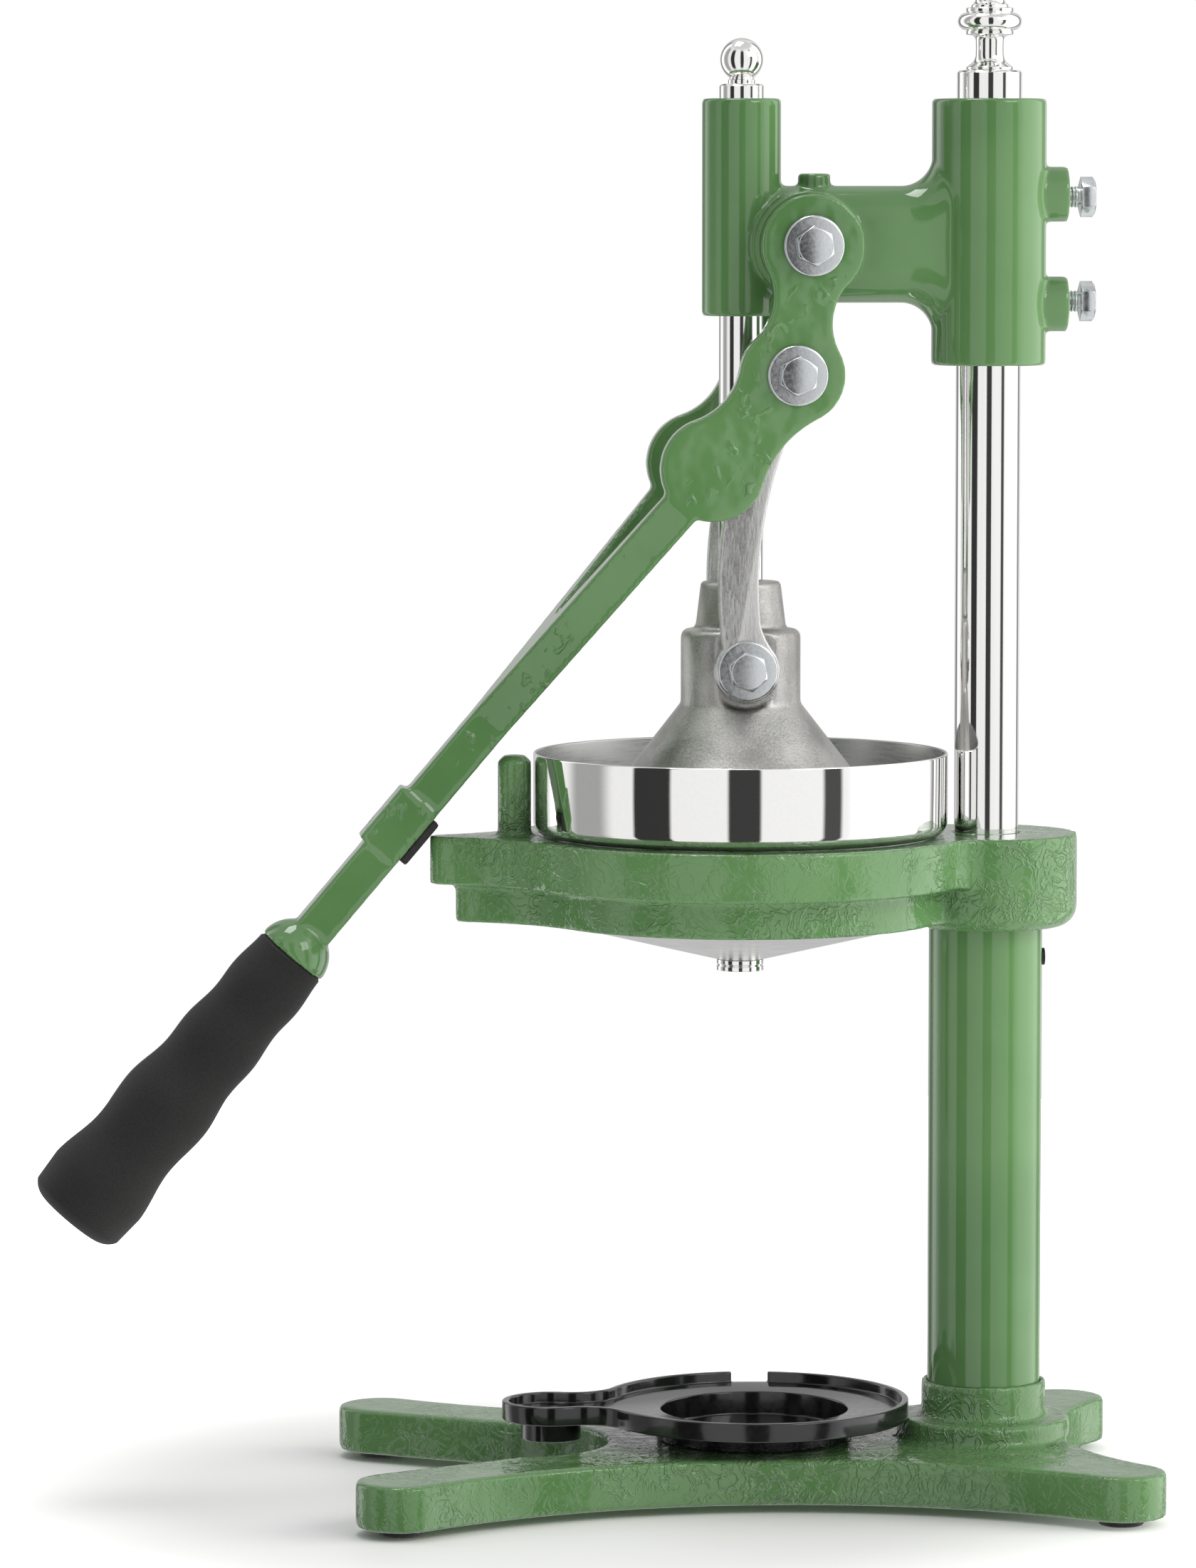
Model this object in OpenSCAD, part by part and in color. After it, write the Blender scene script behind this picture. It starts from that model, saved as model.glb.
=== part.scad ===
// Lever citrus juice press: a cast stand, a column with a clamped head,
// a forked hand lever, two links and a bell that slides down over a reamer.
// Lengths are in millimetres. Modules work from the pressing axis, X towards
// the column and Y away from the viewer, and at_press() moves them to the
// part's own origin, the middle of its footprint on the table.

/* [Base] */
// Length of the base casting
base_l = 297; // [285:1:310]
// Width of the base casting over its feet
base_w = 191; // [180:1:200]
// Thickness of the base casting
base_t = 17; // [15:0.5:20]
// Offset of the base centre from the pressing axis
base_cx = 1; // [0:0.5:2]
// Radius of each rounded leg end
leg_end_r = 16.5; // [15:0.5:18]
// Half width of the base at its waist
base_waist = 51; // [48:0.5:56]
// Distance from the pressing axis to the end of the open pocket
pocket_x = 50; // [48:0.5:52]
// Radius of the pocket's round end
pocket_r = 35; // [32:0.5:36]
// Distance from the pressing axis to the hollow of the heel
heel_x = 121; // [118:0.5:124]
// Height of the rubber feet
foot_h = 3; // [3:0.5:5]
// Diameter of the rubber feet
foot_d = 16.5; // [14:0.5:18]
// Diameter of the flange under the socket
flange_d = 65; // [60:0.5:65]
// Height of the flange above the base
flange_h = 7.5; // [6:0.5:9]
// Outer diameter of the socket
socket_d = 46.7; // [46.2:0.1:50]
// Height of the socket above its flange
socket_h = 13.7; // [11:0.1:18]

/* [Column] */
// Distance from the pressing axis to the column
column_x = 92.3; // [92:0.1:94]
// Diameter of the steel column
column_d = 24; // [22:0.5:25]
// Height of the column's top above the table
column_top = 530.8; // [530.5:0.1:545]
// Outer diameter of the stand tube
tube_d = 42.4; // [40:0.1:42.8]
// Height of the stand tube's top above the table
tube_top = 212.5; // [208:0.5:212.5]
// Diameter of the tube's set screw
set_screw_d = 6.4; // [5:0.1:8]
// Depth of the set screw below the tube's top
set_screw_drop = 12; // [8:0.5:16]
// Diameter of the stud under the column
stud_d = 12; // [10:0.5:14]
// Across flats of the nut under the base
base_nut_af = 19; // [17:0.5:20]

/* [Bowl carrier] */
// Height of the carrier's top face above the table
carrier_top = 247.5; // [247:0.5:248]
// Radius of the carrier's flange
carrier_r = 85; // [83:0.5:87]
// Thickness of the carrier's flange
carrier_t = 18; // [15:0.5:20]
// Height of the skirt below the flange
skirt_h = 14; // [12:0.5:15]
// Width of the step between the flange and the skirt
skirt_step = 9.5; // [8:0.5:10]
// Radius of the column boss
boss_r = 34; // [32:0.5:36]
// Radius of the nose's tip
nose_tip_r = 6; // [5:0.5:8]
// Hollow radius of the nose's flanks
nose_flank_r = 60; // [50:1:70]
// Distance from the pressing axis to the upright peg
peg_x = 84.4; // [84:0.1:86]
// Diameter of the upright peg
peg_d = 12.5; // [11:0.5:12.5]
// Height of the upright peg above the carrier
peg_h = 30; // [25:0.5:34]

/* [Juice bowl] */
// Outer diameter of the cup
cup_d = 154.5; // [152:0.5:155]
// Height of the cup
cup_h = 30.6; // [28:0.1:34]
// Radius of the cup's bottom edge
cup_edge_r = 5; // [4:0.5:7]
// Wall thickness of the sheet steel
sheet_t = 1.2; // [1:0.1:1.4]
// Radius of the opening in the cup's floor
cup_hole_r = 59; // [58:0.5:61]
// Radius of the strainer plate
strainer_r = 63; // [62:0.5:66]
// Radius of the reamer's foot
reamer_r = 36; // [34:0.5:37]
// Height of the reamer
reamer_h = 33; // [30:0.5:34]
// Number of ribs on the reamer
reamer_ribs = 10; // [6:2:12]
// Outer radius of the funnel's upright wall
funnel_r = 69.6; // [68:0.1:70]
// Height of the funnel's cone
funnel_cone_h = 15; // [12:0.5:18]
// Outer diameter of the outlet spout
spout_d = 17.5; // [16:0.5:20]
// Bore of the outlet spout
spout_bore = 14.4; // [12:0.1:14.6]
// Height of the outlet spout below the funnel
spout_h = 4; // [3.5:0.5:8]

/* [Head] */
// Height of the top of the head above the table
head_top = 520.4; // [519:0.2:521.4]
// Outer diameter of the rod guide
guide_d = 29.3; // [29:0.1:30]
// Length of the rod guide
guide_l = 80.2; // [76:0.2:82]
// Height of the cross bar
bar_h = 43.3; // [40:0.1:44]
// Thickness of the cross bar
bar_t = 28.6; // [27:0.1:28.8]
// Diameter of the column clamp
clamp_d = 42.5; // [41:0.5:45]
// Length of the column clamp
clamp_l = 98.6; // [94:0.2:102]
// Radius of the pivot boss
pivot_boss_r = 20; // [19:0.5:21]
// Half width of the pivot boss, inside the links
pivot_boss_y = 19.3; // [19:0.1:19.4]
// Radius of the collars on the pivot boss
pivot_collar_r = 14.5; // [13:0.1:15]
// Half width over the collars, inside the fork arms
pivot_collar_y = 26; // [25.9:0.1:26.2]
// Radius of the clamp screw bosses
screw_boss_r = 10.2; // [9:0.1:11]
// Distance from the column axis to the face of the screw bosses
screw_boss_l = 29.1; // [27:0.1:31]
// Diameter of the pivot axle
axle_d = 16; // [15:0.5:17]
// Length of each guide bush
bush_l = 24; // [18:1:30]

/* [Linkage] */
// Distance of the lever pivot from the pressing axis
pivot_x = 23.3; // [23:0.1:24]
// Height of the lever pivot above the table
pivot_z = 466.3; // [466:0.1:467]
// Distance of the upper link pin from the pressing axis
crank_x = 17.5; // [17:0.1:18]
// Height of the upper link pin above the table
crank_z = 418.9; // [418.5:0.1:419.5]
// Height of the lower link pin above the table
bell_pin_z = 309.9; // [309:0.1:310.5]
// Thickness of each link
link_t = 6; // [5:0.5:6]
// Width of each link
link_w = 15; // [13:0.5:16]
// Radius of the link eyes
link_eye_r = 12.2; // [12:0.1:13]
// Sideways bow of the links
link_bow = 10; // [8:0.5:11]

/* [Lever] */
// Inner face of the fork arms, from the middle
fork_inner = 26.3; // [26.3:0.1:27]
// Thickness of the fork arms
fork_t = 9; // [8:0.5:10]
// Radius of the lobe round the pivot
pivot_lobe_r = 18.9; // [18:0.1:20]
// Radius of the lobe round the upper link pin
crank_lobe_r = 17.7; // [17:0.1:18.5]
// Distance of the elbow lobe from the pressing axis
elbow_x = 13.5; // [13:0.5:14.5]
// Height of the elbow lobe above the table
elbow_z = 384.5; // [384:0.5:385]
// Radius of the elbow lobe
elbow_r = 19.2; // [18.5:0.1:20]
// Slope of the lever's bar below the horizontal
arm_angle = 49.7; // [49.4:0.1:50]
// Height of the lever's bar, seen from the side
arm_h = 14.4; // [13.5:0.1:15]
// Thickness of the lever's bar across the fork
arm_t = 14; // [12:0.5:16]
// Distance along the bar from the elbow to the fork's crotch
crotch_at = 77; // [72:1:82]
// Distance along the bar from the elbow to the grip
arm_l = 238; // [232:1:242]
// Length of the hand grip
grip_l = 128; // [120:1:135]
// Largest radius of the hand grip
grip_r = 20.1; // [18:0.1:21]
// Length of the rubber bumper
bumper_l = 19.4; // [17:0.2:22]
// Thickness of the rubber bumper
bumper_t = 3; // [2.6:0.1:3.4]

/* [Press bell] */
// Height of the bell's lip above the table
bell_lip_z = 253.5; // [253:0.5:255]
// Radius of the bell's lip
bell_lip_r = 55; // [54:0.5:57]
// Height of the shoulder under the bell's hub
bell_hub_z = 296.6; // [296:0.2:298]
// Radius of the bell's hub
bell_hub_r = 22.3; // [21.8:0.1:23]
// Wall thickness of the bell
bell_wall = 4.5; // [4:0.1:4.6]
// Height of the bell's top above the table
bell_top = 341.8; // [340:0.2:343]
// Half width across the flats for the links
bell_flat_y = 19.5; // [19.4:0.1:19.6]
// Diameter of the press rod
rod_d = 16.5; // [16:0.1:17]
// Height of the press rod's shoulder above the head
rod_proud = 5.3; // [4.5:0.1:8]
// Diameter of the ball on the press rod
ball_d = 15.9; // [14:0.1:18]

/* [Glass ring] */
// Distance from the pressing axis to the ring's centre
ring_x = 5.6; // [5:0.1:6]
// Outer radius of the ring
ring_r = 58; // [57:0.5:58]
// Radius of the drip well
well_r = 35; // [33:0.5:36]
// Distance from the pressing axis to the small loop
loop_x = 71; // [70.5:0.5:72]
// Outer radius of the small loop
loop_r = 18.3; // [17:0.1:18.5]
// Height of the ring's rim
ring_rim_h = 7; // [6:0.5:8]
// Gap in the ring's rim at the back
ring_gap = 13.9; // [11:0.1:16]

/* [Fasteners] */
// Diameter of the machine screws
screw_d = 8; // [7.5:0.5:8]
// Across flats of the hexagon heads
hex_af = 13; // [12:0.5:14]
// Height of the hexagon heads
hex_h = 5.3; // [5:0.1:6]
// Diameter of the washers
washer_d = 22.5; // [21:0.5:24]
// Thickness of the washers
washer_t = 1.7; // [1.5:0.1:2]

/* [Hidden] */
$fn = 72;

// Clearances
fit = 0.05;
slip = 0.3;
cut = 2;
lap = 0.04;

// Colours
enamel = [0.36, 0.56, 0.35];
steel = [0.82, 0.83, 0.85];
zinc = [0.75, 0.78, 0.82];
alloy = [0.66, 0.66, 0.64];
bronze = [0.72, 0.55, 0.30];
black = [0.07, 0.07, 0.07];

// Base values
base_top = foot_h + base_t;
foot_dx = base_l / 2 - leg_end_r;
foot_dy = base_w / 2 - leg_end_r;
foot_peg_r = 2.5;
foot_peg_h = 8;
foot_chamfer = 0.8;
flange_top = base_top + flange_h;
socket_top = flange_top + socket_h;
cast_fillet_r = 3;
socket_floor = base_top + 2;
nut_recess_r = 15;
nut_recess_h = 11;
base_washer_r = 12;
base_washer_t = 2;
base_nut_h = 7;
recess_top = foot_h + nut_recess_h;
stud_end = recess_top - base_washer_t - base_nut_h - 0.5;

// Column values
column_r = column_d / 2;
tube_r = tube_d / 2;
edge = 0.8;
set_screw_proud = 1;
hex_key_r = 1.7;
hex_key_depth = 2.5;
finial_spigot_r = 4;
finial_spigot_l = 12;
finial_foot_r = 8.7;
finial_neck_r = 5.2;
finial_neck_l = 8;
finial_flare_l = 5;
finial_flange_r = 8.8;
finial_flange_t = 1.8;
finial_ring_r = 11.9;
finial_ring_t = 6.5;
finial_ball_r = 9;

// Carrier values
flange_bottom = carrier_top - carrier_t;
skirt_bottom = flange_bottom - skirt_h;
boss_round_r = 8;
boss_fillet_r = 14;
peg_chamfer = 2.4;
carrier_bore_r = funnel_r + slip;
rebate_w = 3.2;
rebate_h = sheet_t;
elbow = [-elbow_x, elbow_z];
// The bumper's face meets the nose's top corner with a slip gap
bumper_run = (elbow_z - carrier_top) / tan(arm_angle);
bumper_face = (arm_h / 2 + bumper_t + slip) / sin(arm_angle);
nose_reach = elbow_x + bumper_run - bumper_face;
nose_tip = [nose_tip_r - nose_reach, 0];

// Bowl values
cup_r = cup_d / 2;
cup_floor_top = carrier_top + sheet_t;
strainer_top = cup_floor_top + sheet_t;
strainer_hole_r = 1.7;
strainer_ring_shares = [0.70, 0.78, 0.86];
strainer_holes = 28;
reamer_core_share = 0.86;
reamer_rib_t = 2.4;
funnel_lip_r = carrier_bore_r + rebate_w - slip;
funnel_foot = skirt_bottom - funnel_cone_h;
spout_r = spout_d / 2;
spout_neck_r = spout_bore / 2 + 0.8;
spout_neck_h = 3;
spout_groove_r = 0.4;

// Head values
guide_r = guide_d / 2;
guide_bottom = head_top - guide_l;
bar_r = bar_t / 2;
bar_z = pivot_z + 0.3;
bar_flare_r = 12;
bar_flare_sink = 0.3;
bar_flare_x = column_x - clamp_d / 2 - bar_flare_r + bar_flare_sink;
clamp_r = clamp_d / 2;
clamp_bottom = head_top - clamp_l;
bush_r = 10.5;
bush_inset = 0.5;
clamp_screw_drop_shares = [0.358, 0.77];
oil_boss_x = 27;
oil_boss_r = 6;
oil_boss_h = 4.5;
oil_hole_r = 1.5;
oil_hole_depth = 6;
clamp_screw_gap = 5;
axle_end = fork_inner + fork_t + slip;
axle_r = axle_d / 2;
thread_l = 16;

// Lever values
pivot = [pivot_x, pivot_z];
crank = [crank_x, crank_z];
bell_pin = [0, bell_pin_z];
fork_outer = fork_inner + fork_t;
neck_hollow_r = 22;
belly_hollow_r = 40;
throat_hollow_r = 24;
crank_heel = 3.5;
fork_taper_end = 125;
crotch_r = 4;
block_at = 163;
block_l = 24.6;
block_rise = 2.6;
block_proud = 1.2;
bumper_at = 165.5;
bumper_w = 12;
bumper_round_r = 2;
collar_r = 14;
tang_r = 6;
tang_l = 104;
grip_end_r = 8;
grip_step_r = 9;
grip_step_h = 1.2;
grip_steps = 8;
// Crests and hollows of the grip: share of its length, share of its radius
grip_wave_shares = [
    [0, 0.69], [0.123, 0.756], [0.206, 0.725], [0.331, 0.80],
    [0.414, 0.775], [0.57, 0.905], [0.707, 0.845], [0.887, 1]
];

// Link and bell values
link_inner = bell_flat_y + slip;
link_outer = link_inner + link_t;
link_flank_r = 30;
link_flank_lap = 0.6;
screw_r = screw_d / 2;
washer_r = washer_d / 2;
hex_chamfer = 0.9;
bell_recess_r = 15;
bell_nozzle_r = 16.95;
bell_nozzle_top_r = 14.9;
bell_nozzle_drop = 17.6;
bell_shoulder_r = 3;
bell_knee_r = 42;
bell_knee_rise = 17.8;
bell_top_wall = 6.5;
rod_r = rod_d / 2;
rod_stud_r = 6;
rod_stud_l = 40;
bell_screw_end = 9.5;
rod_top = head_top + rod_proud;
rod_neck_r = 5;
rod_neck_l = 1.6;
ball_r = ball_d / 2;
ball_stud_r = 3;
ball_stud_l = 6.5;
ball_sink = 0.6;

// Ring values
ring_plate_t = 3;
ring_rim_t = 2.6;
ring_z = flange_top + slip;
ring_waist_r = 16;
ring_gap_x = 9.2;
well_wall = 2;
loop_pit_r = 8.5;
loop_stub_r = 11.35;
loop_stub_h = 10.5;

// The grip's end is the farthest reach on the left
grip_reach = elbow_x + (arm_l + grip_l - grip_end_r) * cos(arm_angle)
    + (grip_r - grip_end_r) * sin(arm_angle) + grip_end_r;
base_reach = base_cx + base_l / 2;
press_x = (grip_reach - base_reach) / 2;

// Geometry functions

// Centre of a circle of radius r that touches two circles from outside
function fillet_centre(c1, r1, c2, r2, r, side) =
    let (d = norm(c2 - c1),
         u = (c2 - c1) / d,
         n = [-u[1], u[0]] * side,
         a = (pow(r1 + r, 2) - pow(r2 + r, 2) + d * d) / (2 * d),
         h = sqrt(pow(r1 + r, 2) - a * a))
    c1 + u * a + n * h;

// Point of a circle towards another point
function towards(c, r, p) = c + (p - c) * r / norm(p - c);

// Point where a line from p touches the circle c, r
function touch(p, c, r, side) =
    let (v = c - p,
         l = sqrt(v * v - r * r),
         a = atan2(v[1], v[0]) + side * asin(r / norm(v)))
    p + l * [cos(a), sin(a)];

// Radius of a hollow that touches two equal circles and passes their midpoint
function hollow_r(half, drop, r) =
    (half * half + drop * drop - r * r) / (2 * (r + drop));

// Grip radius between two crests, eased by a half cosine
function eased(a, b, k) = a + (b - a) * (1 - cos(180 * k)) / 2;

// Shared shapes

module at_press() {
    translate([press_x, 0, 0]) children();
}

module cyl_x(r, x0, x1, z) {
    translate([x0, 0, z]) rotate([0, 90, 0]) cylinder(h = x1 - x0, r = r);
}

module cyl_y(r, y0, y1, p) {
    translate([p[0], y0, p[1]]) rotate([-90, 0, 0]) cylinder(h = y1 - y0, r = r);
}

// Extrudes an outline in X and Z from y0 to y1
module along_y(y0, y1) {
    translate([0, y1, 0]) rotate([90, 0, 0]) linear_extrude(y1 - y0) children();
}

// The lever bar's own frame: X along the bar, Z towards its underside
module along_arm() {
    translate([elbow[0], 0, elbow[1]]) rotate([0, 180 - arm_angle, 0]) children();
}

// Both sides of the middle plane
module both_sides() {
    children();
    mirror([0, 1, 0]) children();
}

module disc_at(p, r) {
    translate(p) circle(r);
}

// Hollow flank between two circles, cut a hair into both
module web(c1, r1, c2, r2, r, side) {
    c = fillet_centre(c1, r1, c2, r2, r, side);
    difference() {
        polygon([c1, towards(c1, r1, c), towards(c2, r2, c), c2]);
        disc_at(c, r + lap);
    }
}

// Straight strap between two circles
module strap(c1, r1, c2, r2) {
    d = norm(c2 - c1);
    u = (c2 - c1) / d;
    n = [-u[1], u[0]];
    s = (r1 - r2) / d;
    k = sqrt(1 - s * s);
    polygon([
        c1 + r1 * (u * s + n * k), c2 + r2 * (u * s + n * k),
        c2 + r2 * (u * s - n * k), c1 + r1 * (u * s - n * k)
    ]);
    disc_at(c1, r1);
    disc_at(c2, r2);
}

// Concave ring that fills the corner at the foot of a round boss
module foot_fillet(r, f) {
    rotate_extrude() difference() {
        translate([r - f / 2, 0]) square([f * 1.5, f]);
        disc_at([r + f, f], f);
    }
}

// Half section of a disc with its lower edge rounded
module dish_section(r, h, e) {
    translate([0, e]) square([r, h - e]);
    square([r - e, h]);
    disc_at([r - e, e], e);
}

// Round bar with both ends chamfered
module chamfered_bar(r, h, c) {
    rotate_extrude() polygon([
        [0, 0], [r - c, 0], [r, c], [r, h - c], [r - c, h], [0, h]
    ]);
}

// Hexagon head standing on z = 0, its top corners turned off
module hex_head(af, h) {
    intersection() {
        linear_extrude(h) rotate(30) circle(r = af / sqrt(3), $fn = 6);
        rotate_extrude() polygon([
            [0, 0], [af, 0], [af, h - hex_chamfer * 3 / 2],
            [af / 2 - hex_chamfer / 4, h], [0, h]
        ]);
    }
}

// Hexagon head screw along Y: head outside y, shank inwards to y_end
module side_screw(p, y, y_end) {
    translate([p[0], y, p[1]]) rotate([-90, 0, 0]) hex_head(hex_af, hex_h);
    cyl_y(screw_r, y_end, y, p);
}

// Washer along Y, from y outwards
module side_washer(p, y) {
    difference() {
        translate([p[0], y, p[1]]) rotate([-90, 0, 0])
            chamfered_bar(washer_r, washer_t, washer_t / 5);
        cyl_y(screw_r + fit, y - cut, y + washer_t + cut, p);
    }
}

// Base

module base_outline() {
    c = [base_cx, 0];
    fl = c + [-foot_dx, -foot_dy];
    fr = c + [foot_dx, -foot_dy];
    rl = c + [-foot_dx, foot_dy];
    rr = c + [foot_dx, foot_dy];
    side_r = hollow_r(foot_dx, foot_dy - base_waist, leg_end_r);
    front = [base_cx, -base_waist - side_r];
    rear = [base_cx, base_waist + side_r];
    heel_r = hollow_r(foot_dy, fr[0] - heel_x, leg_end_r);
    heel = [heel_x + heel_r, 0];
    pocket = [-pocket_x - pocket_r, 0];
    pocket_front = touch(pocket - [0, pocket_r], fl, leg_end_r, -1);
    pocket_rear = touch(pocket + [0, pocket_r], rl, leg_end_r, 1);
    difference() {
        polygon([
            towards(fl, leg_end_r, front), towards(fr, leg_end_r, front),
            towards(fr, leg_end_r, heel), towards(rr, leg_end_r, heel),
            towards(rr, leg_end_r, rear), towards(rl, leg_end_r, rear),
            pocket_rear, pocket_front
        ]);
        disc_at(front, side_r);
        disc_at(rear, side_r);
        disc_at(heel, heel_r);
        disc_at(pocket, pocket_r);
        polygon([
            pocket - [0, pocket_r], pocket + [0, pocket_r],
            pocket_rear, pocket_front
        ]);
    }
    for (p = [fl, fr, rl, rr]) disc_at(p, leg_end_r);
}

module at_feet() {
    for (sx = [-1, 1], sy = [-1, 1])
        translate([base_cx + sx * foot_dx, sy * foot_dy, 0]) children();
}

module base() {
    color(enamel) at_press() difference() {
        union() {
            translate([0, 0, foot_h]) linear_extrude(base_t) base_outline();
            translate([column_x, 0, base_top]) {
                cylinder(h = flange_h, d = flange_d);
                cylinder(h = flange_h + socket_h, d = socket_d);
                translate([0, 0, flange_h]) foot_fillet(socket_d / 2, cast_fillet_r);
            }
        }
        translate([column_x, 0, 0]) {
            translate([0, 0, socket_floor]) cylinder(h = socket_top, r = tube_r + fit);
            cylinder(h = socket_top, r = stud_d / 2 + fit);
            translate([0, 0, foot_h - cut]) cylinder(h = nut_recess_h + cut, r = nut_recess_r);
        }
        at_feet() translate([0, 0, foot_h - cut])
            cylinder(h = foot_peg_h + cut, r = foot_peg_r + fit);
    }
}

module base_feet() {
    color(black) at_press() at_feet() {
        rotate_extrude() polygon([
            [0, 0], [foot_d / 2 - foot_chamfer, 0], [foot_d / 2, foot_chamfer],
            [foot_d / 2, foot_h], [0, foot_h]
        ]);
        cylinder(h = foot_h + foot_peg_h - edge, r = foot_peg_r);
    }
}

module base_washer() {
    color(zinc) at_press() translate([column_x, 0, recess_top - base_washer_t])
        difference() {
            cylinder(h = base_washer_t, r = base_washer_r);
            translate([0, 0, -cut]) cylinder(h = base_washer_t + cut * 2, r = stud_d / 2 + fit);
        }
}

module base_nut() {
    color(zinc) at_press()
        translate([column_x, 0, recess_top - base_washer_t - base_nut_h])
        difference() {
            hex_head(base_nut_af, base_nut_h);
            translate([0, 0, -cut]) cylinder(h = base_nut_h + cut * 2, r = stud_d / 2 + fit);
        }
}

// Column

module column() {
    color(steel) at_press() translate([column_x, 0, 0]) difference() {
        union() {
            translate([0, 0, socket_floor])
                chamfered_bar(column_r, column_top - socket_floor, edge);
            translate([0, 0, stud_end]) cylinder(h = socket_floor, r = stud_d / 2);
        }
        translate([0, 0, column_top - finial_spigot_l])
            cylinder(h = finial_spigot_l + cut, r = finial_spigot_r + fit);
    }
}

module stand_tube() {
    color(enamel) at_press() translate([column_x, 0, 0]) difference() {
        translate([0, 0, socket_floor]) cylinder(h = tube_top - socket_floor, r = tube_r);
        translate([0, 0, socket_floor - cut]) cylinder(h = tube_top, r = column_r + fit);
        cyl_x(set_screw_d / 2 + fit, 0, tube_r + cut, tube_top - set_screw_drop);
    }
}

module tube_set_screw() {
    z = tube_top - set_screw_drop;
    tip = tube_r + set_screw_proud;
    color(black) at_press() translate([column_x, 0, 0]) difference() {
        cyl_x(set_screw_d / 2, column_r + slip, tip, z);
        translate([tip - hex_key_depth, 0, z]) rotate([0, 90, 0])
            cylinder(h = hex_key_depth + cut, r = hex_key_r, $fn = 6);
    }
}

module column_finial() {
    neck = finial_flare_l + finial_neck_l;
    ring = neck + finial_flange_t;
    cap = ring + finial_ring_t;
    ball = cap + finial_flange_t + finial_neck_l + finial_ball_r;
    color(steel) at_press() translate([column_x, 0, column_top]) {
        translate([0, 0, -finial_spigot_l + edge])
            cylinder(h = finial_spigot_l, r = finial_spigot_r);
        rotate_extrude() {
            difference() {
                square([finial_foot_r, finial_flare_l]);
                disc_at([finial_foot_r, finial_flare_l], finial_foot_r - finial_neck_r);
                translate([finial_neck_r, finial_flare_l - edge])
                    square([finial_foot_r, finial_foot_r]);
            }
            square([finial_neck_r, ball]);
            translate([0, neck]) square([finial_flange_r, finial_flange_t]);
            translate([0, ring]) square([finial_ring_r - finial_ring_t / 2, finial_ring_t]);
            disc_at([finial_ring_r - finial_ring_t / 2, ring + finial_ring_t / 2],
                    finial_ring_t / 2);
            translate([0, cap]) square([finial_flange_r, finial_flange_t]);
        }
        translate([0, 0, ball]) sphere(finial_ball_r);
    }
}

// Bowl carrier

module carrier_outline(inset) {
    c = [0, 0];
    b = [column_x, 0];
    disc_at(c, carrier_r - inset);
    disc_at(b, boss_r - inset);
    disc_at(nose_tip + [inset, 0], nose_tip_r);
    for (side = [-1, 1]) {
        web(c, carrier_r - inset, nose_tip + [inset, 0], nose_tip_r,
            nose_flank_r + inset, side);
        web(c, carrier_r - inset, b, boss_r - inset, boss_fillet_r + inset, side);
    }
}

module carrier_boss() {
    h = carrier_top - tube_top;
    translate([column_x, 0, tube_top]) {
        rotate_extrude() dish_section(boss_r, h, boss_round_r);
    }
}

module bowl_carrier() {
    color(enamel) at_press() {
        difference() {
            union() {
                translate([0, 0, flange_bottom]) linear_extrude(carrier_t) carrier_outline(0);
                translate([0, 0, skirt_bottom]) linear_extrude(skirt_h)
                    carrier_outline(skirt_step);
                carrier_boss();
                translate([-peg_x, 0, flange_bottom + cut])
                    chamfered_bar(peg_d / 2, carrier_t - cut + peg_h, peg_chamfer);
            }
            translate([0, 0, tube_top - cut])
                cylinder(h = carrier_top - tube_top + cut * 2, r = carrier_bore_r);
            translate([0, 0, carrier_top - rebate_h])
                cylinder(h = rebate_h + cut, r = carrier_bore_r + rebate_w);
            translate([column_x, 0, tube_top - cut])
                cylinder(h = carrier_top, r = column_r + fit);
        }
    }
}

// Juice bowl

module press_cup() {
    color(steel) at_press() translate([0, 0, carrier_top]) rotate_extrude() difference() {
        dish_section(cup_r, cup_h, cup_edge_r);
        translate([0, sheet_t]) dish_section(cup_r - sheet_t, cup_h, cup_edge_r - sheet_t);
        translate([0, -cut]) square([cup_hole_r, cup_h]);
    }
}

module strainer() {
    color(steel) at_press() translate([0, 0, cup_floor_top]) difference() {
        cylinder(h = sheet_t, r = strainer_r);
        for (share = strainer_ring_shares, i = [0 : strainer_holes - 1])
            rotate((i + share * 10) * 360 / strainer_holes)
                translate([strainer_r * share, 0, -cut])
                cylinder(h = sheet_t + cut * 2, r = strainer_hole_r);
    }
}

// Half section of a dome with a small flat top
module reamer_section(r, h) {
    round_r = (r * r + h * h) / (2 * r);
    intersection() {
        disc_at([r - round_r, 0], round_r);
        square([r, h - edge]);
    }
}

module reamer() {
    color(steel) at_press() translate([0, 0, strainer_top]) {
        rotate_extrude() reamer_section(reamer_r * reamer_core_share,
                                        reamer_h * reamer_core_share);
        intersection() {
            rotate_extrude() reamer_section(reamer_r, reamer_h);
            for (i = [0 : reamer_ribs / 2 - 1]) rotate(i * 360 / reamer_ribs)
                translate([-reamer_r, -reamer_rib_t / 2, 0])
                cube([reamer_r * 2, reamer_rib_t, reamer_h]);
        }
    }
}

module funnel() {
    drop = sheet_t * norm([funnel_r - spout_neck_r, funnel_cone_h]) / funnel_r;
    color(steel) at_press() rotate_extrude() {
        translate([funnel_r - sheet_t, carrier_top - rebate_h])
            square([funnel_lip_r - funnel_r + sheet_t, sheet_t]);
        translate([funnel_r - sheet_t, skirt_bottom])
            square([sheet_t, carrier_top - skirt_bottom]);
        polygon([
            [funnel_r, skirt_bottom], [funnel_r, skirt_bottom + drop],
            [funnel_r - sheet_t, skirt_bottom + drop],
            [spout_neck_r + fit, funnel_foot + drop], [spout_neck_r + fit, funnel_foot]
        ]);
    }
}

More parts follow.
